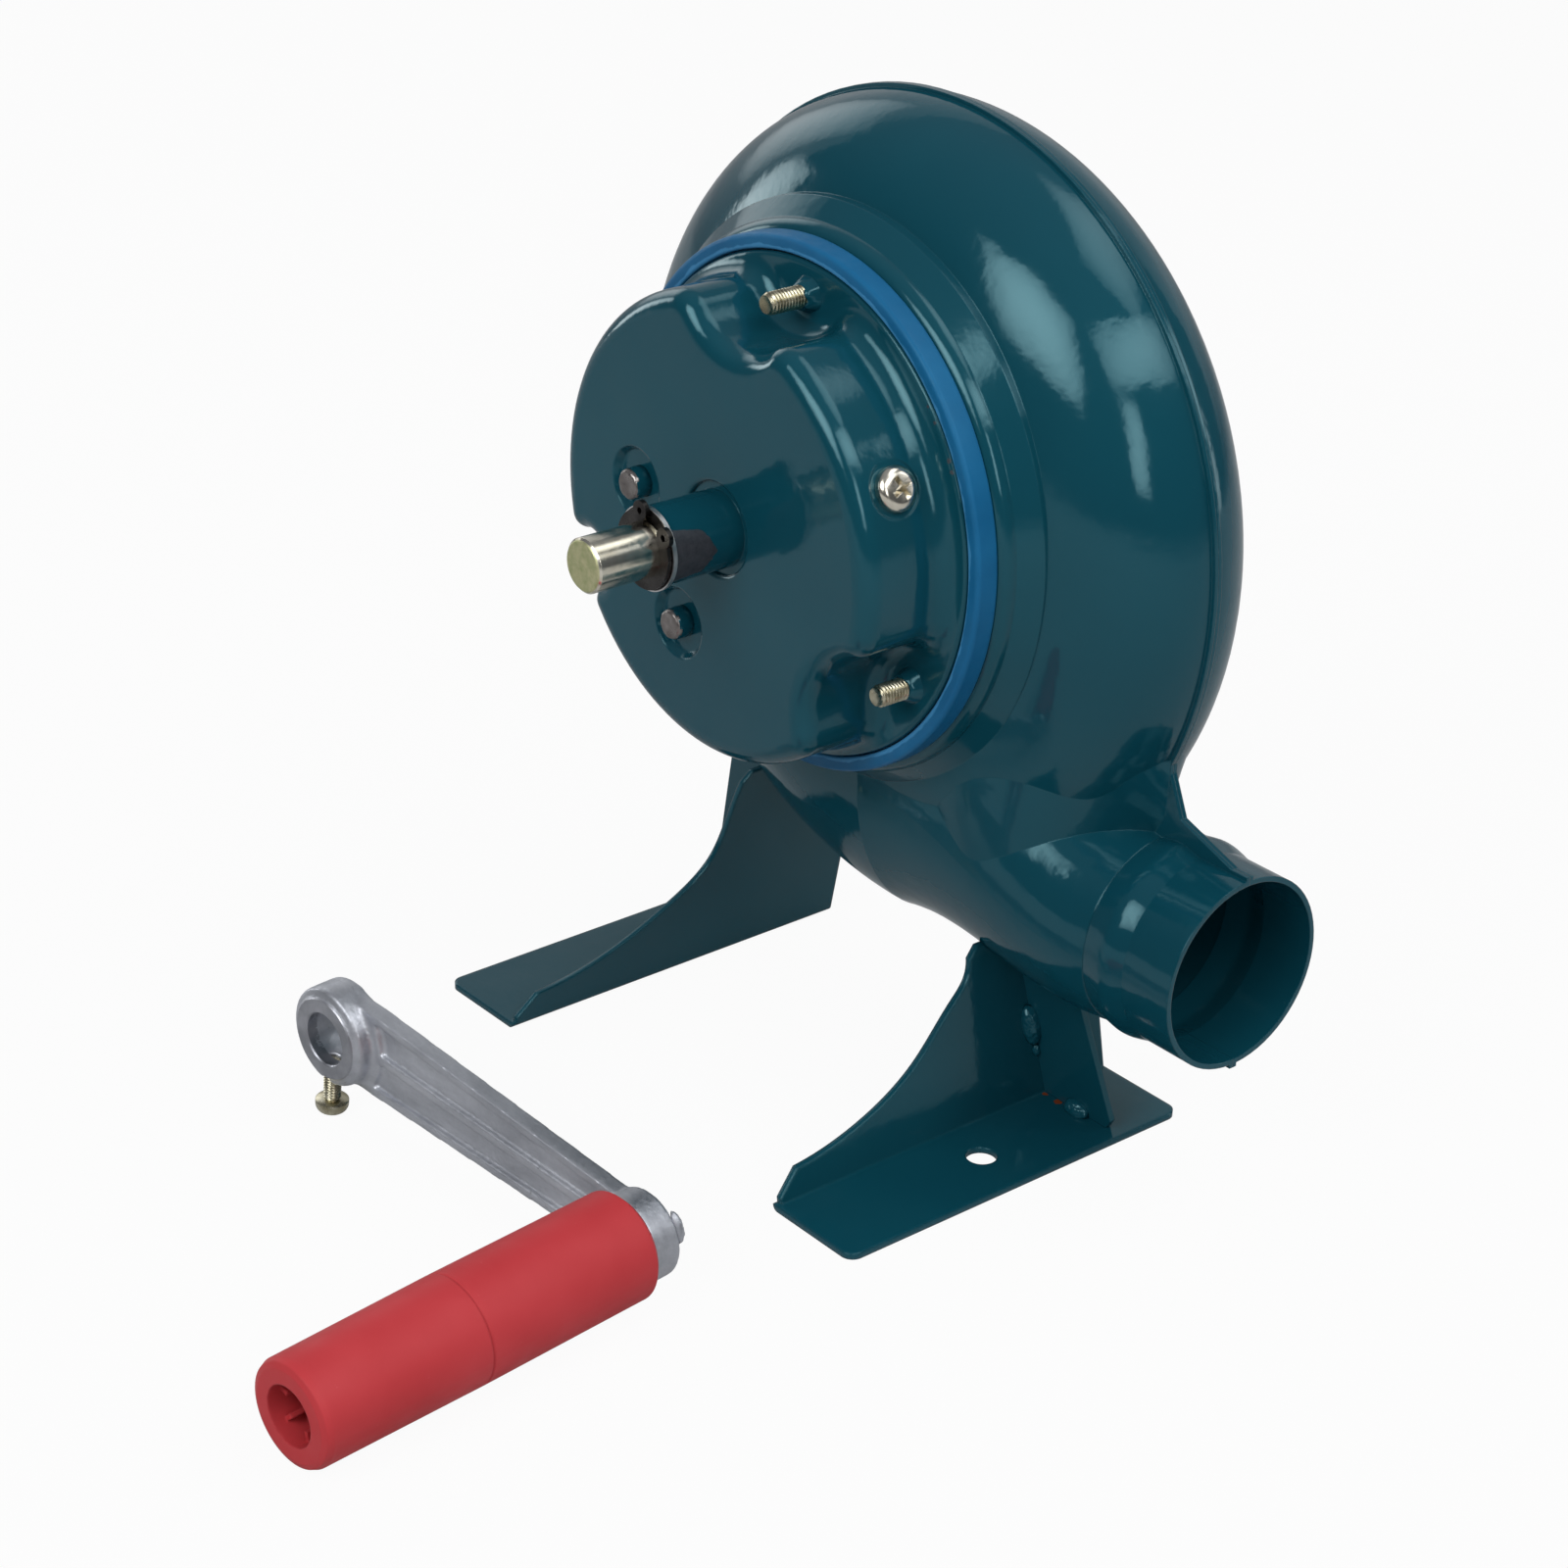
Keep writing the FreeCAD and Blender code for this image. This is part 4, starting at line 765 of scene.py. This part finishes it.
# ---------------------------------------------------------------- gear pins and welds
def add_pins():
    """Hammered bare ends of the gear pins, with paint up their sides."""
    sides = 40
    profile = ((0, 0.30), (1.2, 0.24), (2.2, 0.14), (2.7, 0.10), (3.0, 0.22),
               (3.3, 0.6), (3.45, 1.1), (3.5, 1.5), (3.55, 2.6), (3.5, 4.5))
    for seed, name in enumerate(("gear_pin_a", "gear_pin_b"), 1):
        low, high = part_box(name)
        x, z = (low[0] + high[0]) / 2 / MM, (low[2] + high[2]) / 2 / MM
        tip, back = low[1] / MM, high[1] / MM
        rows = []
        for radius, height in profile:
            row = []
            for turn in turns(sides if radius else 1):
                spot = (radius * math.cos(turn), radius * math.sin(turn), height)
                row.append((radius * (1 + 0.035 * ripple(spot, 0.6, seed)),
                            height + 0.22 * (1 + ripple(spot, 0.75, seed + 3))))
            rows.append(row)
        rows += lathe([(3.0, 4.8), (3.0, back - tip), (0, back - tip)], sides)
        mesh = bmesh.new()
        skin(mesh, place_at((x, tip, z), (0, 1, 0)), rows)
        piece = finish_piece(f"peened_{name}", mesh, "housing", "dark_steel", PINS, (name,))
        piece.data.materials.append(MATERIALS["teal_paint"])
        for face in piece.data.polygons:
            edge = 1.15 + 0.5 * ripple(face.center / MM, 0.7, seed + 6)
            if edge < face.center.y / MM - tip < 5.0:
                face.material_index = 1


def add_weld(name, body, origin, normal, along, size, seed, slot="teal_paint"):
    """Sculpted lump; size is its length, width and height in millimetres."""
    sides, steps = 44, 14
    out = Vector(normal).normalized()
    side = out.cross(Vector(along)).normalized()
    axes = Matrix((side.cross(out), side, out)).transposed().to_4x4()
    place = Matrix.Translation(Vector(origin) * MM) @ axes
    mesh = bmesh.new()
    rings = []
    for i in range(steps + 1):
        t = 1 - i / steps
        points = []
        for turn in turns(1 if i == steps else sides):
            x = size[0] / 2 * t * math.cos(turn)
            y = size[1] / 2 * t * math.sin(turn)
            edge = 1 + 0.14 * ripple((math.cos(turn), math.sin(turn), 0), 1.4, seed)
            top = size[2] * math.sqrt(max(0.0, 1 - t * t))
            bumps = 0.14 * size[2] * ripple((x, y, 0), 1.0, seed + 5) * (1 - t ** 4)
            pits = 0.05 * size[2] * ripple((x, y, 4), 2.6, seed + 8) * (1 - t ** 4)
            points.append((x * edge, y * edge, top + bumps + pits))
        rings.append(add_ring(mesh, place, points))
    mesh.faces.new(rings[0])
    stitch(mesh, rings)
    finish_piece(name, mesh, body, slot)


def add_welds():
    """Welds between the casing and the feet's webs and flanges, on both sides."""
    for side, label in ((1, "right"), (-1, "left")):
        add_weld(f"{label}_web_weld", "housing", (side * 46.8, 27.3, 18.6),
                 (side * 0.75, -0.62, 0.1), (-0.2 * side, -0.1, 1), (10.0, 5.0, 2.4), 3 + side)
        add_weld(f"{label}_web_spatter", "housing", (side * 47.9, 28.2, 12.3),
                 (side * 0.75, -0.6, 0.1), (-0.2 * side, 0, 1), (3.0, 2.0, 1.0), 8 + side)
        add_weld(f"{label}_flange_weld", "housing", (side * 60.8, 29.4, 2.5),
                 (0.1, -0.72, 0.68), (1, 0, 0), (7.2, 4.4, 1.9), 5 + side)


def add_drip():
    """Drop of paint under the outlet's mouth, at the seam."""
    add_weld("outlet_drip", "housing", (102.4, SEAM_Y, 34.6), (0.2, 0, -1), (1, 0, 0),
             (2.6, 1.8, 1.5), 21)


# ---------------------------------------------------------------- crank
def crank_place():
    """Placement of the crank at rest, its X along the arm."""
    return (Matrix.Translation(Vector(CRANK_HUB) * MM)
            @ Matrix.Rotation(math.radians(CRANK_YAW), 4, "Z")
            @ Matrix.Rotation(math.radians(CRANK_ROLL), 4, "Y"))


def add_smoothing(piece, iterations, group=""):
    modifier = piece.modifiers.new("smoothing", "SMOOTH")
    modifier.factor = 0.5
    modifier.iterations = iterations
    modifier.vertex_group = group


def add_cast_arm():
    """Crank arm with the soft corners and fillets of a casting."""
    voxel, neck_reach, neck_width = 0.36, 12.2, 3.0
    piece = new_object("cast_crank_arm", nodes["crank_arm"].data.copy())
    mesh = bmesh.new()
    mesh.from_mesh(piece.data)
    bmesh.ops.remove_doubles(mesh, verts=mesh.verts, dist=0.002 * MM)
    mesh.transform(crank_place().inverted())
    mesh.to_mesh(piece.data)
    mesh.free()
    grid = piece.modifiers.new("grid", "REMESH")
    grid.mode = "VOXEL"
    grid.voxel_size = voxel * MM
    settle(piece)
    # The neck, where the arm meets the hub, gets the larger fillet.
    group = piece.vertex_groups.new(name="neck")
    for vertex in piece.data.vertices:
        local = vertex.co / MM
        weight = 1 - abs(math.hypot(local.x, local.z) - neck_reach) / neck_width
        if local.x > 3 and weight > 0:
            group.add([vertex.index], weight, "REPLACE")
    add_smoothing(piece, 22)
    add_smoothing(piece, 24, "neck")
    settle(piece)
    rows = [(vertex.co / MM, vertex.normal.copy()) for vertex in piece.data.vertices]
    flat = []
    for spot, normal in rows:
        lift = 0.055 * ripple(spot, 0.5, 2) + 0.03 * ripple(spot, 1.6, 5)
        flat.extend((spot - normal * (0.03 + abs(lift))) * MM)
    piece.data.vertices.foreach_set("co", flat)
    piece.data.transform(crank_place())
    piece.data.update()
    smooth(piece.data)
    piece.data.materials.clear()
    piece.data.materials.append(MATERIALS["cast_aluminium"])
    ready(piece, "crank", ("crank_arm",))


def add_hub_face():
    """Machined ring round the crank's bore."""
    profile = [(6.16, 3.0), (6.16, 0.35), (6.5, 0.0), (9.45, 0.0), (9.75, 0.3), (9.78, 1.0)]
    place = crank_place() @ Matrix.Rotation(math.radians(-90), 4, "X")
    mesh = bmesh.new()
    skin(mesh, place, lathe(profile, 72), closed=True)
    sharpen(finish_piece("crank_hub_face", mesh, "crank", "cast_aluminium", MACHINED), 30)


def add_gate_stub():
    """Rough stub where the casting's gate was broken off, behind the arm's far end."""
    add_weld("gate_stub", "crank", (60.6, -85.3, 16.6), (0.72, 0.60, 0.35), (-0.4, 0, 0.9),
             (7.0, 2.6, 1.7), 31, "cast_aluminium")


def add_set_screw():
    """Set screw under the hub, with its thread in view and a small pan head."""
    seat = 16.92
    place = crank_place() @ Matrix.Translation((0, 2.8 * MM, 0)) @ Matrix.Rotation(math.pi, 4, "X")
    rows = lathe([(0, 6.75), (1.5, 6.75)]) + thread(2.0, 1.62, 0.7, 6.8, 16.8)
    rows += lathe([(3.5, 16.9), (3.8, 17.1)])
    rows += lathe([(radius, seat + height) for radius, height in pan_head(3.8, 3.0, 0.8)])
    mesh = bmesh.new()
    skin(mesh, place, rows)
    sharpen(finish_piece("threaded_set_screw", mesh, "crank", "zinc_yellow", THREAD,
                         ("crank_set_screw",)))


bpy.context.scene.view_settings.view_transform = "Standard"
add_camera()
add_floor()
add_world()
add_lights()
dress_nodes()
add_studs()
add_stud_welds()
add_filler_screw()
add_gasket()
add_pins()
add_welds()
add_drip()
add_cast_arm()
add_gate_stub()
add_hub_face()
add_set_screw()
